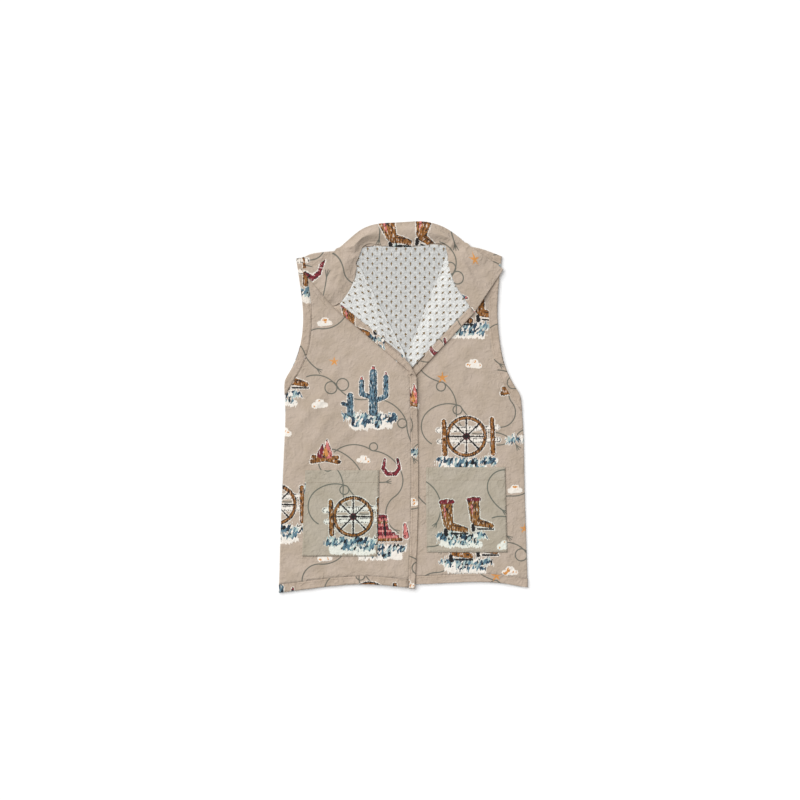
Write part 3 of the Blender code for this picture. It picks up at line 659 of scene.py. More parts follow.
nearness = {row.node: seam_nearness(row.node) for row in PIECES}
for name, piece in cloths.items():
    layer = piece.data.attributes.new("seam_near", "FLOAT", "POINT")
    layer.data.foreach_set("value", nearness[name])
    drape(piece, is_back=name in BACK_PIECES)
print("points near a seam:", round(float(np.mean(np.concatenate(list(nearness.values())))), 2))

# %% [markdown]
# ## The print
# The cloth carries a western print: small scenes in brown, dark red, coral, blue and black on tan, with thin
# grey lines of rope that wander between them. The scenes here are this script's own: boots, saguaros, a
# wagon wheel at a fence, a mesa, a campfire, a horseshoe, stars, sage bushes and small clouds. They could be
# painted as an image. A material made from nodes is used, because it stays sharp at any size. Each picture
# is a list of brush strokes and rings. A stroke is a line with a width at each end, and the nodes calculate
# how far each place on the cloth is from it.

# %% Brush strokes, rings and arcs as nodes
Stroke = namedtuple("Stroke", "ink x0 y0 x1 y1 start end")
Ring = namedtuple("Ring", "ink x y radius width")
Arc = namedtuple("Arc", "x y radius middle half")  # its middle and half its opening are angles
SHORTEST = 1e-6  # a stroke of no length is a dot, and its squared length is taken to be this


def stroke_distance(tree, place, row):
    """How far a place is outside a stroke, in mm, and below 0 inside it."""
    run = Vector((row.x1 - row.x0, row.y1 - row.y0, 0.0))
    share = run / max(run.length_squared, SHORTEST)
    from_start = add(tree, "VectorMath", {0: place, 1: (row.x0, row.y0, 0.0)}, operation="SUBTRACT")
    along = add(tree, "VectorMath", {0: from_start, 1: share}, output=1, operation="DOT_PRODUCT")
    along = add(tree, "Math", {0: along, 1: 0.0}, operation="MAXIMUM")
    along = add(tree, "Math", {0: along, 1: 1.0}, operation="MINIMUM")
    nearest = add(tree, "VectorMath", {0: run, 3: along}, operation="SCALE")
    reach = add(tree, "VectorMath", {0: from_start, 1: nearest}, output=1, operation="DISTANCE")
    reach = add(tree, "Math", {0: along, 1: row.start - row.end, 2: reach}, operation="MULTIPLY_ADD")
    return add(tree, "Math", {0: reach, 1: row.start}, operation="SUBTRACT")


def ring_distance(tree, place, row):
    """How far a place is outside a drawn ring, in mm."""
    reach = add(tree, "VectorMath", {0: place, 1: (row.x, row.y, 0.0)}, output=1, operation="DISTANCE")
    reach = add(tree, "Math", {0: reach, 1: row.radius}, operation="SUBTRACT")
    reach = add(tree, "Math", {0: reach}, operation="ABSOLUTE")
    return add(tree, "Math", {0: reach, 1: row.width}, operation="SUBTRACT")


def arc_distance(tree, place, row):
    """How far a place is from an arc, in mm."""
    back = (-math.cos(row.middle), -math.sin(row.middle), 0.0)
    from_middle = add(tree, "VectorMath", {0: place, 1: (row.x, row.y, 0.0)}, operation="SUBTRACT")
    reach = add(tree, "VectorMath", {0: from_middle}, output=1, operation="LENGTH")
    behind = add(tree, "VectorMath", {0: from_middle, 1: back}, output=1, operation="DOT_PRODUCT")
    beyond = add(tree, "Math", {0: reach, 1: math.cos(row.half), 2: behind}, operation="MULTIPLY_ADD")
    beside = add(tree, "Math", {0: reach, 1: row.radius}, operation="SUBTRACT")
    beside = add(tree, "Math", {0: beside}, operation="ABSOLUTE")
    return add(tree, "Math", {0: beside, 1: beyond}, operation="MAXIMUM")


DISTANCES = {Stroke: stroke_distance, Ring: ring_distance, Arc: arc_distance}


def nearest_stroke(tree, place, rows):
    """How far a place is outside the nearest of some strokes, rings and arcs."""
    nearest = None
    for row in rows:
        distance = DISTANCES[type(row)](tree, place, row)
        if nearest is not None:
            distance = add(tree, "Math", {0: nearest, 1: distance}, operation="MINIMUM")
        nearest = distance
    return nearest


print("the nodes can draw", [kind.__name__ for kind in DISTANCES])

# %% Helpers for soft borders, rough edges and places
CUT_TO_MM = 1000.0
BRUSH_BLUR = 0.45


def within(tree, distance, edge, blur=BRUSH_BLUR):
    """1 where a distance is below an edge, 0 above it, with a soft border. Both are in mm."""
    return add(tree, "MapRange", {0: distance, 1: edge - blur, 2: edge + blur, 3: 1.0, 4: 0.0})


def roughened(tree, place, size, reach, detail):
    """A place moved a little by noise, so that what is drawn there gets a brushed edge."""
    rough = {"Vector": place, "Scale": 1 / size, "Detail": detail}
    rough = add(tree, "TexNoise", rough, output=1, noise_dimensions="2D")
    rough = add(tree, "VectorMath", {0: rough, 1: (0.5, 0.5, 0.5)}, operation="SUBTRACT")
    return add(tree, "VectorMath", {0: rough, 1: (reach, reach, 0.0), 2: place}, operation="MULTIPLY_ADD")


def cloth_place(tree):
    """The place on the cloth in mm, from the piece's own map."""
    mapped = add(tree, "UVMap", uv_map="cut")
    return add(tree, "VectorMath", {0: mapped, 3: CUT_TO_MM}, operation="SCALE")


def room_place(tree):
    """The place in the room in mm."""
    room = add(tree, "TexCoord", output=3)
    return add(tree, "VectorMath", {0: room, 3: CUT_TO_MM}, operation="SCALE")


print("a stroke's edge is blurred over", 2 * BRUSH_BLUR, "mm")

# %% [markdown]
# ## The pictures of the print
# Every line below is one stroke of a picture: its ink, where it starts and ends, and its radius at both
# ends, in mm from the picture's foot. A ring has its middle, its radius and half its width.

# %% The boot and the saguaros
BOOT = (
    Stroke("saddle", 0, 46, 3, 15, 10.5, 8.4),
    Stroke("saddle", 6, 10, 33, 3, 7.4, 4.6),
    Stroke("dark_red", -9, 51, 10, 52, 3.6, 3.6),
    Stroke("coral", -3, 41, -2, 24, 2.2, 1.0),
    Stroke("ink", -1, 3, 0, -4, 3.2, 3.6),
    Stroke("ink", 8, -3, 37, -3.4, 1.5, 1.2),
    Stroke("ink", 5, 44, -3, 33, 0.8, 0.5),
    Stroke("ink", -3, 43, 7, 28, 0.7, 0.5),
    Stroke("ink", 8, 12, 24, 9, 0.6, 1.0),
)
SAGUARO = (
    Stroke("sage", 0, 0, 0, 68, 7.6, 6.0),
    Stroke("sage", 0, 24, -18, 30, 3.6, 4.2),
    Stroke("sage", -20, 31, -20, 52, 4.4, 4.0),
    Stroke("sage", 0, 17, 20, 26, 3.6, 4.2),
    Stroke("sage", 22, 28, 22, 60, 4.4, 4.0),
    Stroke("cream", -3, 4, -3, 64, 0.9, 0.6),
    Stroke("ink", 3.4, 3, 3, 62, 0.7, 0.9),
    Stroke("coral", 0, 75, 0, 77, 3.0, 2.0),
    Stroke("dark_red", 22, 65, 22, 67, 2.2, 1.6),
    Stroke("coral", -20, 57, -20, 59, 2.4, 1.6),
)
SMALL_SAGUARO = (
    Stroke("sage", 0, 0, 0, 30, 5.4, 4.6),
    Stroke("sage", 0, 12, 12, 17, 2.6, 3.0),
    Stroke("ink", 2.2, 2, 2, 28, 0.6, 0.7),
)
print("strokes of the boot:", len(BOOT), "and of the saguaros:", len(SAGUARO) + len(SMALL_SAGUARO))

# %% The wheel at a fence, and the mesa
WHEEL = (
    Ring("saddle", 0, 36, 33, 2.6),
    Ring("ink", 0, 36, 36.2, 0.6),
    Ring("dark_red", 0, 36, 4, 2.4),
    Stroke("ink", -32, 36, 32, 36, 1.3, 1.3),
    Stroke("ink", 0, 4, 0, 68, 1.3, 1.3),
    Stroke("ink", -23, 13, 23, 59, 1.3, 1.3),
    Stroke("ink", 23, 13, -23, 59, 1.3, 1.3),
)
FENCE = (
    Stroke("cream", -54, 40, 52, 45, 3.8, 3.4),
    Stroke("cream", -52, 20, 54, 23, 3.4, 3.9),
    Stroke("saddle", -42, -2, -44, 56, 4.4, 3.4),
    Stroke("saddle", 44, -1, 42, 60, 4.2, 3.6),
    Stroke("ink", -38, 0, -40, 54, 0.7, 0.7),
    Stroke("ink", 47.5, 0, 45.5, 58, 0.7, 0.7),
)
Stratum = namedtuple("Stratum", "ink left y right")
STRATA = (  # the mesa's layers of rock, from its foot
    Stratum("saddle", -41, 4, 48),
    Stratum("coral", -35, 9, 42),
    Stratum("dark_red", -30, 14, 36),
    Stratum("coral", -25, 19, 29),
    Stratum("dark_red", -22, 24, 24),
    Stratum("coral", -21, 29, 23),
    Stratum("saddle", -21, 34, 22),
    Stratum("coral", -20, 39, 22),
    Stratum("dark_red", -19, 44, 21),
)
HALF_STRATUM = 3.1
MESA = tuple(
    Stroke(row.ink, row.left, row.y, row.right, row.y, HALF_STRATUM, HALF_STRATUM) for row in STRATA) + (
    Stroke("coral", 55, 30, 57, 10, 2.6, 5.0),
    Stroke("ink", 18, 44, 21, 12, 1.0, 2.2),
    Stroke("ink", -3, 40, -6, 22, 0.7, 1.5),
    Stroke("cream", -14, 42, -16, 26, 0.8, 1.2),
)
print("strokes of the wheel and the fence:", len(WHEEL) + len(FENCE), "and of the mesa:", len(MESA))

# %% The small pictures
CAMPFIRE = (
    Stroke("saddle", -22, 2, 20, 9, 3.6, 3.2),
    Stroke("saddle", -20, 10, 22, 1, 3.2, 3.6),
    Stroke("dark_red", -7, 14, -4, 30, 6.4, 1.0),
    Stroke("coral", 5, 14, 3, 38, 7.0, 0.8),
    Stroke("sun", 1, 14, 0, 27, 4.6, 0.8),
    Stroke("ink", 22, 1, 24, 1, 2.0, 2.0),
    Ring("ink", -22, 2, 1.6, 0.6),
)
HORSESHOE = (
    Stroke("dark_red", -14, 34, -18, 14, 2.6, 3.8),
    Stroke("dark_red", -18, 14, -9, 2, 3.8, 4.2),
    Stroke("dark_red", -9, 2, 9, 2, 4.2, 4.2),
    Stroke("dark_red", 9, 2, 18, 14, 4.2, 3.8),
    Stroke("dark_red", 18, 14, 14, 34, 3.8, 2.6),
    Stroke("cream", -16.6, 26, -17.4, 16, 0.7, 0.7),
    Stroke("cream", 16.6, 26, 17.4, 16, 0.7, 0.7),
)
STAR_REACH = 12
STAR = tuple(
    Stroke("sun", 0, 0, STAR_REACH * math.cos(turn), STAR_REACH * math.sin(turn), 2.8, 0.2)
    for turn in (math.radians(90 + 72 * point) for point in range(5)))
BUSH = (
    Stroke("brush", -42, -4, 40, -2, 7.0, 5.5),
    Stroke("brush", -20, -12, 26, -13, 5.0, 4.0),
    Stroke("sand", -34, -14, 26, -17, 7.5, 6.0),
)
TUFT = (Stroke("brush", -12, 0, 12, 1, 5.5, 3.6),)
PUFF = (
    Stroke("puff", -10, 0, 10, 1, 4.0, 2.8),
    Stroke("puff", -3, 6, 3, 7, 4.4, 2.8),
)
print("strokes of the campfire:", len(CAMPFIRE), "and of the horseshoe:", len(HORSESHOE))

# %% [markdown]
# ## One repeat of the print
# The pictures fill a tile of 372 by 470 mm, with room for the rope between them. Each next column of tiles is
# shifted by half a tile, which a printer calls a half drop, because the eye then finds no rows.

# %% Place the pictures in the tile
TILE = (372.0, 470.0)
Placed = namedtuple("Placed", "picture x y size side")
LAYOUT = (  # picture, its foot, its size, and -1 where it looks the other way
    Placed(BOOT, 58, 372, 1.16, 1),
    Placed(BOOT, 112, 381, 1.08, 1),
    Placed(BUSH, 92, 366, 1.1, 1),
    Placed(SAGUARO, 282, 330, 1.15, 1),
    Placed(SMALL_SAGUARO, 236, 326, 1.2, -1),
    Placed(BUSH, 272, 322, 1.15, -1),
    Placed(FENCE, 92, 112, 1.12, 1),
    Placed(WHEEL, 88, 104, 1.12, 1),
    Placed(BUSH, 92, 98, 1.25, 1),
    Placed(MESA, 282, 70, 1.15, 1),
    Placed(BUSH, 290, 62, 1.2, -1),
    Placed(CAMPFIRE, 186, 228, 1.2, 1),
    Placed(HORSESHOE, 318, 204, 0.9, 1),
    Placed(STAR, 40, 262, 1.0, 1),
    Placed(STAR, 204, 430, 0.85, 1),
    Placed(TUFT, 188, 138, 1.2, 1),
    Placed(TUFT, 345, 436, 1.0, -1),
    Placed(PUFF, 176, 342, 1.1, 1),
    Placed(PUFF, 262, 232, 0.9, -1),
    Placed(PUFF, 102, 286, 1.1, -1),
    Placed(PUFF, 186, 36, 1.0, 1),
)


def placed_strokes(row):
    """A picture's strokes at its place in the tile."""
    strokes = []
    for line in row.picture:
        if isinstance(line, Ring):
            x, y = row.x + row.side * row.size * line.x, row.y + row.size * line.y
            strokes.append(Ring(line.ink, x, y, row.size * line.radius, row.size * line.width))
        else:
            x = [row.x + row.side * row.size * value for value in (line.x0, line.x1)]
            y = [row.y + row.size * value for value in (line.y0, line.y1)]
            widths = row.size * line.start, row.size * line.end
            strokes.append(Stroke(line.ink, x[0], y[0], x[1], y[1], *widths))
    return strokes


TILE_STROKES = [stroke for row in LAYOUT for stroke in placed_strokes(row)]
print("strokes in the tile:", len(TILE_STROKES))

# %% [markdown]
# ## The wandering rope
# Between the pictures runs a thin rope in round curves, with small loops and bows in it. It could be traced
# point by point, but that takes hundreds of lines. A rope that bends evenly is a chain of circular arcs, so
# each rope here starts at a place with a heading and then makes bends: how many degrees it turns (a minus
# turns right) and on what radius. A bend of about 360 degrees is a loop. Its far end is frayed.

# %% The bends of each rope
Bend = namedtuple("Bend", "turn radius")
Rope = namedtuple("Rope", "x y heading bends")
ROPES = (
    Rope(135, 130, -20, (
        Bend(75, 46), Bend(-120, 30), Bend(-60, 60), Bend(395, 9), Bend(-95, 52), Bend(120, 34),
        Bend(30, 80))),
    Rope(18, 130, 150, (
        Bend(-110, 40), Bend(-60, 62), Bend(-400, 9), Bend(70, 80), Bend(120, 30), Bend(-150, 26),
        Bend(-40, 90), Bend(70, 50))),
    Rope(150, 400, 20, (
        Bend(-80, 50), Bend(345, 12), Bend(-345, 12), Bend(70, 60), Bend(-80, 70), Bend(-380, 9),
        Bend(60, 80), Bend(-90, 60))),
    Rope(205, 250, 40, (
        Bend(-75, 60), Bend(390, 8), Bend(-70, 66), Bend(-70, 40), Bend(110, 40))),
    Rope(60, 365, 250, (
        Bend(-70, 34), Bend(130, 40), Bend(40, 70), Bend(-385, 9), Bend(-60, 60), Bend(110, 44),
        Bend(-70, 60))),
)
print("ropes:", len(ROPES), "with bends:", sum(len(rope.bends) for rope in ROPES))

# %% Lay the ropes as arcs
FRAY_LENGTH = 11.0
FRAY_TURNS = (-26, -4, 22)  # how far each strand turns from the rope's heading, in degrees
FRAY_TIP = -0.4  # a strand's tip against the rope's radius, in mm


def rope_lines(rope):
    """A rope as arcs, with the short strands of its frayed end."""
    lines = []
    x, y, heading = rope.x, rope.y, math.radians(rope.heading)
    for bend in rope.bends:
        side = math.copysign(1.0, bend.turn)
        middle_x = x - side * bend.radius * math.sin(heading)
        middle_y = y + side * bend.radius * math.cos(heading)
        start = math.atan2(y - middle_y, x - middle_x)
        turn = math.radians(bend.turn)
        half = min(abs(turn) / 2, math.pi)
        lines.append(Arc(middle_x, middle_y, bend.radius, start + turn / 2, half))
        x = middle_x + bend.radius * math.cos(start + turn)
        y = middle_y + bend.radius * math.sin(start + turn)
        heading += turn
    for fray in FRAY_TURNS:
        away = heading + math.radians(fray)
        end_x, end_y = x + FRAY_LENGTH * math.cos(away), y + FRAY_LENGTH * math.sin(away)
        lines.append(Stroke("rope", x, y, end_x, end_y, 0.0, FRAY_TIP))
    return lines


def in_next_tiles(line):
    """A line and its copies that the tiles round this one send into it."""
    if isinstance(line, Arc):
        low_x, high_x = line.x - line.radius, line.x + line.radius
        low_y, high_y = line.y - line.radius, line.y + line.radius
    else:
        low_x, high_x = sorted((line.x0, line.x1))
        low_y, high_y = sorted((line.y0, line.y1))
    copies = []
    for column in (-1, 0, 1):
        for row in (-1.0, -0.5, 0.0, 0.5, 1.0):
            if (column == 0) == (row % 1 == 0.5):
                continue
            dx, dy = column * TILE[0], row * TILE[1]
            if low_x + dx > TILE[0] or high_x + dx < 0 or low_y + dy > TILE[1] or high_y + dy < 0:
                continue
            if isinstance(line, Arc):
                copies.append(line._replace(x=line.x + dx, y=line.y + dy))
            else:
                copies.append(line._replace(
                    x0=line.x0 + dx, y0=line.y0 + dy, x1=line.x1 + dx, y1=line.y1 + dy))
    return copies


ROPE_LINES = [copy for rope in ROPES for line in rope_lines(rope) for copy in in_next_tiles(line)]
print("arcs and strands of rope in the tile:", len(ROPE_LINES))

# %% [markdown]
# ## The print put together
# A screen printer lays one colour on another: the tan ground, the rope, a cream edge round every picture,
# the fills and at last the black. The nodes do the same in that order. Noise roughens each stroke's edge and
# leaves gaps in the black as a dry brush does, and small cells of a Voronoi pattern are the leaves of the
# sage bushes. A Noise node's scale is 1 over the size of its blotches. On a Map Range node, sockets 1 and 2
# are the range that goes in, and 3 and 4 the range that comes out. On a Mix node for colours, socket 0 is the
# mask, 6 the colour below and 7 the colour on top, and its result is output 2.

# %% The inks, and where each one lies
INKS = {
    "ground": "#b8a899",
    "ground_shade": "#b0a08f",
    "rope": "#68675e",
    "cream": "#e9e2d8",
    "saddle": "#93602c",
    "saddle_shade": "#6b4423",
    "dark_red": "#7b2530",
    "coral": "#c8716c",
    "sage": "#5a7887",
    "sage_shade": "#2d4153",
    "sage_light": "#a7b9b6",
    "sun": "#cf8f4d",
    "ink": "#1f1c1d",
}
EDGED_FILLS = ("cream", "saddle", "coral", "dark_red", "sage")  # their pictures have a cream edge
FILLS = (*EDGED_FILLS, "sun")


def tile_place(tree, place):
    """The place inside one tile of the print."""
    split = tree.nodes.new("ShaderNodeSeparateXYZ")
    tree.links.new(place, split.inputs[0])
    x, y = split.outputs[0], split.outputs[1]
    column = add(tree, "Math", {0: x, 1: TILE[0]}, operation="DIVIDE")
    column = add(tree, "Math", {0: column}, operation="FLOOR")
    y = add(tree, "Math", {0: column, 1: TILE[1] / 2, 2: y}, operation="MULTIPLY_ADD")
    x = add(tree, "Math", {0: x, 1: TILE[0]}, operation="FLOORED_MODULO")
    y = add(tree, "Math", {0: y, 1: TILE[1]}, operation="FLOORED_MODULO")
    return add(tree, "CombineXYZ", {0: x, 1: y})


def ink_distances(tree, in_tile):
    """How far a place in the tile is outside the strokes of each ink, and outside the edged pictures."""
    far = {}
    for ink in (*FILLS, "ink", "brush", "puff", "sand"):
        far[ink] = nearest_stroke(tree, in_tile, [row for row in TILE_STROKES if row.ink == ink])
    far["picture"] = far["ink"]
    for ink in EDGED_FILLS:
        far["picture"] = add(tree, "Math", {0: far["picture"], 1: far[ink]}, operation="MINIMUM")
    return far


print("inks:", list(INKS))

# %% The ground, the rope and the marks of the brush
MOTTLE_SIZE = 34.0  # all sizes are in mm
MOTTLE_STEP = (0.35, 0.7)  # noise below the first value gives 0, above the second 1
ROPE_RADIUS = 1.15
ROPE_BLUR = 0.5
STREAK_SIZE, STREAK_SQUEEZE = 2.8, 0.32
BLADE_SIZE, BLADE_SQUEEZE = 3.4, 0.22
LEAF_SIZE, LEAF_SQUEEZE = 3.0, 0.4
LEAF_SLANT = math.radians(24)


def squeezed(tree, place, share):
    """A place whose y counts for less, so that a pattern read there is drawn out along the cloth."""
    return add(tree, "VectorMath", {0: place, 1: (1.0, share, 1.0)}, operation="MULTIPLY")


def brush_marks(tree, place, brushed):
    """Patterns from 0 to 1: the streaks of a dry brush, blades of grass, and leaves."""
    streaks = {"Vector": squeezed(tree, place, STREAK_SQUEEZE), "Scale": 1 / STREAK_SIZE, "Detail": 2.0}
    streaks = add(tree, "TexNoise", streaks, noise_dimensions="2D")
    blades = {"Vector": squeezed(tree, place, BLADE_SQUEEZE), "Scale": 1 / BLADE_SIZE, "Detail": 1.0}
    blades = add(tree, "TexNoise", blades, noise_dimensions="2D")
    leaves = add(tree, "VectorRotate", {"Vector": brushed, "Angle": LEAF_SLANT}, rotation_type="Z_AXIS")
    leaves = {"Vector": squeezed(tree, leaves, LEAF_SQUEEZE), "Scale": 1 / LEAF_SIZE}
    leaves = add(tree, "TexVoronoi", leaves, output=1, voronoi_dimensions="2D")
    return streaks, blades, add(tree, "SeparateColor", {0: leaves})


def ground_and_rope(tree, place):
    """The tan ground, faintly mottled, with the rope on it."""
    mottle = {"Vector": place, "Scale": 1 / MOTTLE_SIZE, "Detail": 4.0}
    mottle = add(tree, "TexNoise", mottle, noise_dimensions="2D")
    mottle = add(tree, "MapRange", {0: mottle, 1: MOTTLE_STEP[0], 2: MOTTLE_STEP[1]})
    ground = {0: mottle, 6: linear(INKS["ground"]), 7: linear(INKS["ground_shade"])}
    colour = add(tree, "Mix", ground, output=2, data_type="RGBA")
    rope = nearest_stroke(tree, tile_place(tree, place), ROPE_LINES)
    rope = {0: within(tree, rope, ROPE_RADIUS, ROPE_BLUR), 6: colour, 7: linear(INKS["rope"])}
    return add(tree, "Mix", rope, output=2, data_type="RGBA")


print("leaves are about", LEAF_SIZE, "by", round(LEAF_SIZE / LEAF_SQUEEZE, 1), "mm")

# %% The cream edges, the clouds and the sage bushes
CREAM_EDGE = 1.6
RAGGED_SIZE = 15.0
BUSH_RAGGED, SAND_RAGGED = 16.0, 9.0  # how far the blades and the noise cut into each
CLOUD_INSIDE = -0.6
SPARK_STEP = (0.74, 0.78)
LeafInk = namedtuple("LeafInk", "ink start")
LEAF_INKS = (  # each ink is laid on the leaves whose value is above its start
    LeafInk("sage_light", 0.15), LeafInk("sage", 0.36), LeafInk("sage_shade", 0.64), LeafInk("ink", 0.86))
LEAF_STEP = 0.03
LEAF_BLUR = 0.4


def cream_and_bushes(tree, colour, place, far, blades, leaves):
    """Lays the cream round the pictures, the sparks in the clouds, and the leaves of the bushes."""
    ragged = {"Vector": place, "Scale": 1 / RAGGED_SIZE, "Detail": 1.0}
    ragged = add(tree, "TexNoise", ragged, noise_dimensions="2D")
    ragged = add(tree, "Math", {0: ragged, 1: blades}, operation="ADD")
    ragged = add(tree, "Math", {0: 1.0, 1: ragged}, operation="SUBTRACT")
    bush = add(tree, "Math", {0: ragged, 1: BUSH_RAGGED, 2: far["brush"]}, operation="MULTIPLY_ADD")
    edge = add(tree, "Math", {0: far["picture"], 1: far["puff"]}, operation="MINIMUM")
    sand = add(tree, "Math", {0: ragged, 1: SAND_RAGGED, 2: far["sand"]}, operation="MULTIPLY_ADD")
    for other in (sand, bush):
        edge = add(tree, "Math", {0: edge, 1: other}, operation="MINIMUM")
    cream = {0: within(tree, edge, CREAM_EDGE), 6: colour, 7: linear(INKS["cream"])}
    colour = add(tree, "Mix", cream, output=2, data_type="RGBA")
    spark = add(tree, "MapRange", {0: leaves, 1: SPARK_STEP[0], 2: SPARK_STEP[1]})
    spark = add(tree, "Math", {0: within(tree, far["puff"], CLOUD_INSIDE), 1: spark}, operation="MULTIPLY")
    colour = add(tree, "Mix", {0: spark, 6: colour, 7: linear(INKS["sun"])}, output=2, data_type="RGBA")
    in_bush = within(tree, bush, 0.0, LEAF_BLUR)
    for row in LEAF_INKS:
        leaf = add(tree, "MapRange", {0: leaves, 1: row.start, 2: row.start + LEAF_STEP})
        leaf = add(tree, "Math", {0: in_bush, 1: leaf}, operation="MULTIPLY")
        leaf = {0: leaf, 6: colour, 7: linear(INKS[row.ink])}
        colour = add(tree, "Mix", leaf, output=2, data_type="RGBA")
    return colour


print("inks of the leaves:", [row.ink for row in LEAF_INKS])

# %% The fills and the black
SHADE_STEP = (0.53, 0.60)
LIGHT_STEP = (0.33, 0.37)
LIGHT_STRENGTH = 0.6
GAP_STEP = (0.42, 0.50)
HATCH_STEP = (0.62, 0.66)
WELL_INSIDE = -1.2  # how deep in a picture the lights and the hatching start
OUTLINE_INSIDE = 0.3
OUTLINE_RADIUS = 0.8
OUTLINE_BLUR = 0.4


def fills_and_black(tree, colour, far, streaks):
    """Lays the fills with their shade and light, and the black strokes, outlines and hatching."""
    shade = add(tree, "MapRange", {0: streaks, 1: SHADE_STEP[0], 2: SHADE_STEP[1]})
    for ink in FILLS:
        fill = linear(INKS[ink])
        if ink + "_shade" in INKS:
            fill = {0: shade, 6: fill, 7: linear(INKS[ink + "_shade"])}
            fill = add(tree, "Mix", fill, output=2, data_type="RGBA")
        fill = {0: within(tree, far[ink], 0.0), 6: colour, 7: fill}
        colour = add(tree, "Mix", fill, output=2, data_type="RGBA")
    inside = within(tree, far["picture"], WELL_INSIDE)
    light = {0: streaks, 1: LIGHT_STEP[0], 2: LIGHT_STEP[1], 3: LIGHT_STRENGTH, 4: 0.0}
    light = add(tree, "Math", {0: add(tree, "MapRange", light), 1: inside}, operation="MULTIPLY")
    colour = add(tree, "Mix", {0: light, 6: colour, 7: linear(INKS["cream"])}, output=2, data_type="RGBA")
    outline = add(tree, "Math", {0: far["picture"], 1: OUTLINE_INSIDE}, operation="ADD")
    outline = add(tree, "Math", {0: outline}, operation="ABSOLUTE")
    gaps = add(tree, "MapRange", {0: streaks, 1: GAP_STEP[0], 2: GAP_STEP[1]})
    outline = within(tree, outline, OUTLINE_RADIUS, OUTLINE_BLUR)
    outline = add(tree, "Math", {0: outline, 1: gaps}, operation="MULTIPLY")
    hatch = add(tree, "MapRange", {0: streaks, 1: HATCH_STEP[0], 2: HATCH_STEP[1]})
    hatch = add(tree, "Math", {0: hatch, 1: inside}, operation="MULTIPLY")
    black = add(tree, "Math", {0: within(tree, far["ink"], 0.0), 1: outline}, operation="MAXIMUM")
    black = add(tree, "Math", {0: black, 1: hatch}, operation="MAXIMUM")
    return add(tree, "Mix", {0: black, 6: colour, 7: linear(INKS["ink"])}, output=2, data_type="RGBA")


print("fills:", list(FILLS))

# %% Make the print as a node group
PRINT_GRAIN = 2.6  # the size of the bumps at a stroke's edge
PRINT_ROUGHNESS = 4.0  # how far the noise moves an edge


def make_print():
    """The western print: the colour of the cloth at a place given in mm."""
    tree = bpy.data.node_groups.new("western_print", "ShaderNodeTree")
    tree.interface.new_socket("Place", in_out="INPUT", socket_type="NodeSocketVector")
    tree.interface.new_socket("Color", in_out="OUTPUT", socket_type="NodeSocketColor")
    place = tree.nodes.new("NodeGroupInput").outputs[0]
    brushed = roughened(tree, place, PRINT_GRAIN, PRINT_ROUGHNESS, 2.0)
    far = ink_distances(tree, tile_place(tree, brushed))
    streaks, blades, leaves = brush_marks(tree, place, brushed)
    colour = ground_and_rope(tree, place)
    colour = cream_and_bushes(tree, colour, place, far, blades, leaves)
    colour = fills_and_black(tree, colour, far, streaks)
    tree.links.new(colour, tree.nodes.new("NodeGroupOutput").inputs[0])
    return tree


western_print = make_print()
print("nodes in the print:", len(western_print.nodes))

# %% [markdown]
# ## Washed cotton
# Both cloths are plain-weave cotton, dull and slightly fuzzy: roughness is high, the shine is weak and a
# little sheen stands for the loose fibres. The real threads are about 0.45 mm apart, too fine for this
# picture, so the weave is drawn at 1.6 mm. Its bump joins the small crinkles that washing leaves, which are
# stronger beside a seam.

# %% Helpers for the weave and the crinkles
DRAWN_THREAD = 1.6
SLUB_SIZE = 4.0  # a slub is a thicker stretch of thread
WEAVE_DEPTH = 0.00012  # the depths are in metres
WEAVE_STRENGTH = 0.7
CRINKLE_SIZE = 14.0
CRINKLE_DEPTH = 0.0011
CRINKLE_STEP = (0.35, 0.65)
CRINKLE_SHARE = 0.55  # the crinkles' strength away from the seams, and how much a seam adds
CRINKLE_AT_SEAM = 0.35
COTTON = {"Specular IOR Level": 0.25, "Sheen Weight": 0.08, "Sheen Roughness": 0.6}


def weave_height(tree, place):
    """The weave's height at a place on the cloth, from 0 to 1."""
    turns = add(tree, "VectorMath", {0: place, 3: math.pi / DRAWN_THREAD}, operation="SCALE")
    waves = add(tree, "VectorMath", {0: turns}, operation="SINE")
    waves = add(tree, "VectorMath", {0: waves}, operation="ABSOLUTE")
    split = tree.nodes.new("ShaderNodeSeparateXYZ")
    tree.links.new(waves, split.inputs[0])
    slub = {"Vector": place, "Scale": 1 / SLUB_SIZE, "Detail": 2.0}
    slub = add(tree, "TexNoise", slub, noise_dimensions="2D")
    height = add(tree, "Math", {0: split.outputs[0], 1: split.outputs[1]}, operation="MULTIPLY")
    return add(tree, "Math", {0: height, 1: slub}, operation="MULTIPLY")


def crinkle_height(tree):
    """The height of the small crinkles, in mm, from the place in the room and the nearness to a seam."""
    room = room_place(tree)
    near = add(tree, "Attribute", output=2, attribute_name="seam_near")
    ridge = {"Vector": room, "Scale": 1 / CRINKLE_SIZE, "Detail": 3.0}
    ridge = add(tree, "TexNoise", ridge, noise_dimensions="3D")
    ridge = add(tree, "MapRange", {0: ridge, 1: CRINKLE_STEP[0], 2: CRINKLE_STEP[1], 3: 0.0, 4: 2.0})
    ridge = add(tree, "Math", {0: ridge, 1: 1.0}, operation="PINGPONG")
    strength = add(tree, "Math", {0: near, 1: CRINKLE_AT_SEAM, 2: CRINKLE_SHARE}, operation="MULTIPLY_ADD")
    return add(tree, "Math", {0: ridge, 1: strength}, operation="MULTIPLY")


def cotton(name, roughness):
    """Starts a washed cotton. Gives back its material, tree and shader, and the place on the cloth."""
    material, tree, shader = new_material(name, {**COTTON, "Roughness": roughness})
    return material, tree, shader, cloth_place(tree)


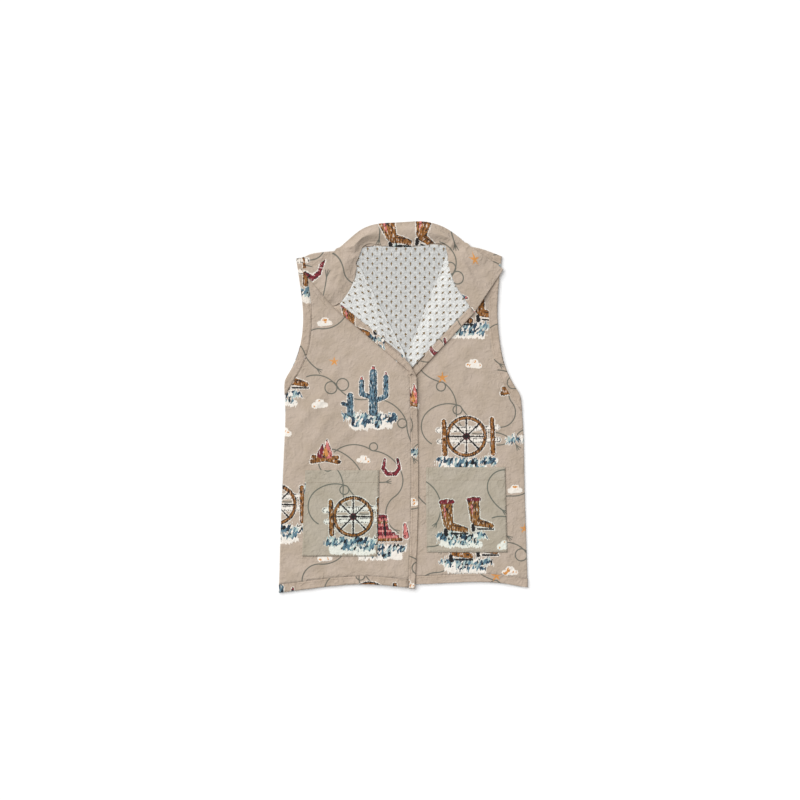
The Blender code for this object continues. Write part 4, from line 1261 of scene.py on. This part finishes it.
def finish_cotton(tree, shader, place, colour):
    """Links a cotton's colour, weave and crinkles to its shader."""
    tree.links.new(colour, shader.inputs["Base Color"])
    crinkles = {"Height": crinkle_height(tree), "Distance": CRINKLE_DEPTH, "Strength": 1.0}
    crinkles = add(tree, "Bump", crinkles)
    weave = {"Height": weave_height(tree, place), "Distance": WEAVE_DEPTH, "Strength": WEAVE_STRENGTH}
    weave = add(tree, "Bump", {**weave, "Normal": crinkles})
    tree.links.new(weave, shader.inputs["Normal"])


print("threads are drawn", DRAWN_THREAD, "mm apart")

# %% [markdown]
# ## The printed cloth, the pockets and the bands
# The three printed finishes are one cloth. The pockets are a little greener than the fronts, as if they were
# cut from another dye lot, and the bands are a trace warmer. A tint that multiplies the print changes the
# ground and leaves the dark inks dark.

# %% Make the printed materials
Finish = namedtuple("Finish", "name tint")
FINISHES = {
    "print": Finish("printed_plain_weave_cotton", None),
    "pocket": Finish("printed_pocket_cotton", "#f3fcfb"),
    "band": Finish("printed_folded_band_cotton", "#fffdfb"),
}
PRINT_FINISH = 0.86  # roughness
materials = {}
for key, row in FINISHES.items():
    materials[key], tree, shader, place = cotton(row.name, PRINT_FINISH)
    group = tree.nodes.new("ShaderNodeGroup")
    group.node_tree = western_print
    tree.links.new(place, group.inputs[0])
    colour = group.outputs[0]
    if row.tint:
        tint = {0: 1.0, 6: colour, 7: linear(row.tint)}
        colour = add(tree, "Mix", tint, output=2, data_type="RGBA", blend_type="MULTIPLY")
    finish_cotton(tree, shader, place, colour)
print("printed materials:", [material.name for material in materials.values()])

# %% [markdown]
# ## The sprigged lining
# The lining is white with a small brown sprig every 19 mm, in columns 9.5 mm apart that are shifted by half
# a step, and grey specks between them. It is a common small repeat. Two sprigs, of four and five strokes,
# share a cell that the nodes repeat, and the second lies across the cell's border. The white is mottled,
# because the tan cloth behind it shows through unevenly.

# %% Make the lining material
SPRIG_CELL = (19.0, 19.0)
SPRIG = tuple(Stroke("sprig", *row) for row in (
    (4.75, 6.4, 4.75, 10.6, 0.5, 0.6),
    (4.75, 9.4, 3.1, 11.2, 0.6, 1.0),
    (4.75, 9.4, 6.4, 11.2, 0.6, 1.0),
    (4.75, 11.2, 4.75, 13.4, 1.1, 0.9),
    (3.7, 6.9, 5.8, 6.9, 0.5, 0.5),
    (14.25, 15.9, 14.25, 18.4, 0.6, 1.1),
    (14.25, 3.6, 14.25, 0.8, 0.6, 1.2),
    (14.25, 1.4, 12.8, 0.2, 0.6, 1.0),
    (14.25, 1.4, 15.7, 0.2, 0.6, 1.0),
))
SPRIG_BROWN = "#735c38"
SPECK_GREY = "#a4a8ad"
LINING_FINISH = 0.88  # roughness
SPRIG_GRAIN, SPRIG_ROUGHNESS, SPRIG_BLUR = 1.6, 1.4, 0.35
WHITE_SIZE = 4.5
WHITE_STEP = (0.35, 0.65)
SPECK_SPACING = 3.3
SPECK_STRENGTH = 0.7
SPECK_STEP = (0.14, 0.26)  # where a speck starts and ends to fade
Lining = namedtuple("Lining", "name white shade")
LININGS = {  # the lapel lining has the cloth's own white; the back lining's darker white is painted shade
    "lining": Lining("sprigged_cotton_lapel_lining", "#e2e2df", "#cbcbc7"),
    # painted shade: the back lining is darker all over, for the shadow inside the back under the fronts and
    # the collar
    "back_lining": Lining("sprigged_cotton_back_lining", "#d0d0cd", "#b8b8b5"),
}


def make_lining(row):
    """White cotton with a brown sprig."""
    material, tree, shader, place = cotton(row.name, LINING_FINISH)
    brushed = roughened(tree, place, SPRIG_GRAIN, SPRIG_ROUGHNESS, 1.0)
    split = tree.nodes.new("ShaderNodeSeparateXYZ")
    tree.links.new(brushed, split.inputs[0])
    x = add(tree, "Math", {0: split.outputs[0], 1: SPRIG_CELL[0]}, operation="FLOORED_MODULO")
    y = add(tree, "Math", {0: split.outputs[1], 1: SPRIG_CELL[1]}, operation="FLOORED_MODULO")
    sprig = nearest_stroke(tree, add(tree, "CombineXYZ", {0: x, 1: y}), SPRIG)
    white = {"Vector": place, "Scale": 1 / WHITE_SIZE, "Detail": 3.0}
    white = add(tree, "TexNoise", white, noise_dimensions="2D")
    white = add(tree, "MapRange", {0: white, 1: WHITE_STEP[0], 2: WHITE_STEP[1]})
    white = {0: white, 6: linear(row.white), 7: linear(row.shade)}
    colour = add(tree, "Mix", white, output=2, data_type="RGBA")
    speck = {"Vector": place, "Scale": 1 / SPECK_SPACING, "Randomness": 0.9}
    speck = add(tree, "TexVoronoi", speck, voronoi_dimensions="2D")
    speck = {0: speck, 1: SPECK_STEP[0], 2: SPECK_STEP[1], 3: SPECK_STRENGTH, 4: 0.0}
    speck = {0: add(tree, "MapRange", speck), 6: colour, 7: linear(SPECK_GREY)}
    colour = add(tree, "Mix", speck, output=2, data_type="RGBA")
    sprig = {0: within(tree, sprig, 0.0, SPRIG_BLUR), 6: colour, 7: linear(SPRIG_BROWN)}
    colour = add(tree, "Mix", sprig, output=2, data_type="RGBA")
    finish_cotton(tree, shader, place, colour)
    return material


for key, row in LININGS.items():
    materials[key] = make_lining(row)
for row in PIECES:
    cloths[row.node].data.materials.clear()
    cloths[row.node].data.materials.append(materials[row.cloth])
print("materials:", len(materials))

# %% [markdown]
# ## Rows of stitches
# The bands, pockets and collar are topstitched with a tan thread, a stitch every 3.2 mm. Thread could be a
# bump in the material, but then a low view would lose it. Each stitch here is a small spindle that lies on
# the cloth. A row is a line of points seen from above, moved sideways to where the needle ran, and each
# stitch finds the cloth's height below it.

# %% Helpers for the rows of stitches
STITCH_STEP = 3.2
STITCH_SIZE = (1.15, 0.36, 0.26)  # half length, half width and half height, in mm
STITCH_RISE = 0.1
STITCH_NEIGHBOURHOOD = 0.5  # the seam's direction is measured this far before and behind, in mm
STEEPEST = 0.5  # no stitch lies where the cloth's normal points up by less than this
NEEDLE_FROM = 60.0  # the height above all cloth from which the needle comes down


def beside(points, off):
    """A line of points moved to its left by a distance in mm, or to its right by a negative one."""
    points = np.array(points, dtype=float)
    run = np.gradient(points, axis=0)
    run /= np.linalg.norm(run, axis=1)[:, None]
    return points + off * np.stack([-run[:, 1], run[:, 0]], axis=1)


def even_steps(points, step):
    """Places along a line of points, an even step apart, with the direction at each."""
    lengths = np.concatenate([[0.0], np.cumsum(np.linalg.norm(np.diff(points, axis=0), axis=1))])
    at = np.arange(step / 2, lengths[-1], step)
    places = np.stack([np.interp(at, lengths, points[:, axis]) for axis in (0, 1)], axis=1)
    ahead, behind = (
        np.stack([np.interp(at + off, lengths, points[:, axis]) for axis in (0, 1)], axis=1)
        for off in (STITCH_NEIGHBOURHOOD, -STITCH_NEIGHBOURHOOD))
    return places, ahead - behind


def sew(work, tree, points, off):
    """Adds a row of stitches to a mesh, on the cloth that a search tree holds. Gives back how many."""
    places, runs = even_steps(beside(points, off), STITCH_STEP)
    sewn = 0
    for (x, y), (run_x, run_y) in zip(places, runs):
        hit, normal, _, _ = tree.ray_cast(Vector((x, y, NEEDLE_FROM)), Vector((0, 0, -1)))
        if hit is None or normal.z < STEEPEST:
            continue
        along = Vector((run_x, run_y, 0.0)).normalized()
        across = normal.cross(along).normalized()
        along = across.cross(normal).normalized()
        place = Matrix((
            (*along * STITCH_SIZE[0], 0.0), (*across * STITCH_SIZE[1], 0.0),
            (*normal * STITCH_SIZE[2], 0.0), (0.0, 0.0, 0.0, 1.0))).transposed()
        place.translation = hit + normal * STITCH_RISE
        bmesh.ops.create_icosphere(work, subdivisions=1, radius=1.0, matrix=Matrix.Scale(MM, 4) @ place)
        sewn += 1
    return sewn


print("a stitch every", STITCH_STEP, "mm")

# %% [markdown]
# ## Where the needle ran
# Every row below follows an edge of the vest, listed as points in mm, and runs a given distance to its left.
# Only the rows that show from above are sewn: the others lie inside or below.

# %% The rows
SeamRow = namedtuple("SeamRow", "piece name off points")
SEAM_ROWS = (
    SeamRow("front_band_right", "front_edge", 10.4, (
        (23.4, -358), (27.4, -267), (30, -147), (28.4, -33), (26.4, 48))),
    SeamRow("front_band_right", "lapel_inner", -10.4, ((20, 63), (-60, 131), (-134, 193))),
    SeamRow("front_band_right", "lapel_outer", -1.8, ((18, 66), (-60, 131), (-136, 195))),
    SeamRow("front_band_left", "lapel_inner", 10.2, ((36, 74), (90, 132), (135, 180))),
    SeamRow("front_band_left", "lapel_outer", 1.8, ((34, 73), (90, 132), (137, 182))),
    SeamRow("hem_band_right", "hem", 13.2, (
        (-245, -371), (-193, -364.8), (-139, -357.8), (-75, -354.4), (-6.6, -359.6), (14, -362))),
    SeamRow("hem_band_left", "hem", 13.2, (
        (32, -354.6), (80, -353), (143, -349.8), (200, -352), (246, -360.4))),
    SeamRow("armhole_band_right_front", "armhole", -14.2, (
        (-233, 59), (-218.6, 83), (-208.6, 108), (-202.6, 133), (-199.2, 179), (-204.6, 233), (-212, 282))),
    SeamRow("armhole_band_left_front", "armhole", 14.2, (
        (229, 31), (214.4, 53), (199.4, 88), (191.8, 133), (187.2, 188), (190.4, 248), (195, 288))),
    SeamRow("pocket_right", "edge", 2.2, ((-196.4, -127), (-201.4, -299.4), (-51.4, -299.2), (-48.8, -127))),
    SeamRow("pocket_right", "hem", 25.0, ((-52, -126.4), (-194, -126.4))),
    SeamRow("pocket_left", "edge", 2.2, ((47.8, -122), (46.4, -289), (208.4, -290), (205.6, -122))),
    SeamRow("pocket_left", "hem", 25.0, ((202, -121.6), (51, -121.6))),
    SeamRow("collar", "front_edge_right", 9.5, ((-143, 202), (-170, 234), (-198, 267))),
    SeamRow("collar", "outer_edge_right", 6.0, ((-196, 276.4), (-176, 279), (-155, 294), (-140, 307))),
    SeamRow("collar", "front_edge_left", -9.5, ((143, 190), (168, 226), (194, 264))),
    SeamRow("collar", "outer_edge_left", -6.0, ((190, 282), (168.4, 296.4), (150, 308.2), (138, 316))),
)
print("rows:", len(SEAM_ROWS))

# %% Sew the rows
needle = search_tree([row.node for row in PIECES])
thread_rows = {}
for row in SEAM_ROWS:
    work = bmesh.new()
    points = np.array(row.points)
    if row.name == "edge":  # a pocket's corners are square, so each side is its own row
        sewn = sum(sew(work, needle, points[i:i + 2], row.off) for i in range(len(points) - 1))
    else:
        sewn = sew(work, needle, points, row.off)
    mesh = bpy.data.meshes.new(f"stitches_{row.piece}_{row.name}")
    work.to_mesh(mesh)
    work.free()
    mesh.shade_smooth()
    thread = new_object(mesh.name, mesh)
    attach(thread, "root")
    thread_rows.setdefault(row.piece, []).append(thread)
    print(mesh.name, "stitches:", sewn)

# %% [markdown]
# ## The sewing thread
# Topstitching thread is spun polyester-cotton: a little shinier than the cloth, with a slight twist. The
# twist is finer than a picture shows, so its colour only varies softly along each stitch.

# %% Make the thread's material
THREAD = {"Roughness": 0.62, "Sheen Weight": 0.1}
THREAD_TAN = "#a08f7d"
THREAD_SHADE = "#8b7a68"
TWIST_SIZE = 0.9
thread_material, tree, thread_shader = new_material("spun_sewing_thread", THREAD)
twist = {"Vector": room_place(tree), "Scale": 1 / TWIST_SIZE, "Detail": 1.0}
twist = {0: add(tree, "TexNoise", twist), 6: linear(THREAD_TAN), 7: linear(THREAD_SHADE)}
thread_colour = add(tree, "Mix", twist, output=2, data_type="RGBA")
tree.links.new(thread_colour, thread_shader.inputs["Base Color"])
for threads in thread_rows.values():
    for thread in threads:
        thread.data.materials.append(thread_material)
print("rows of stitches:", sum(len(threads) for threads in thread_rows.values()))

# %% [markdown]
# ## What each piece was cut to
# Every piece is a sheet of cloth, and its cut is known: its length and width before it was sewn, and its
# flat area, which is less than length times width where the cut is curved. The fronts are cut with
# their lapels in one, and the collar's two layers count as one sheet.

Cut = namedtuple("Cut", "width length area rests_on")  # in metres and square metres
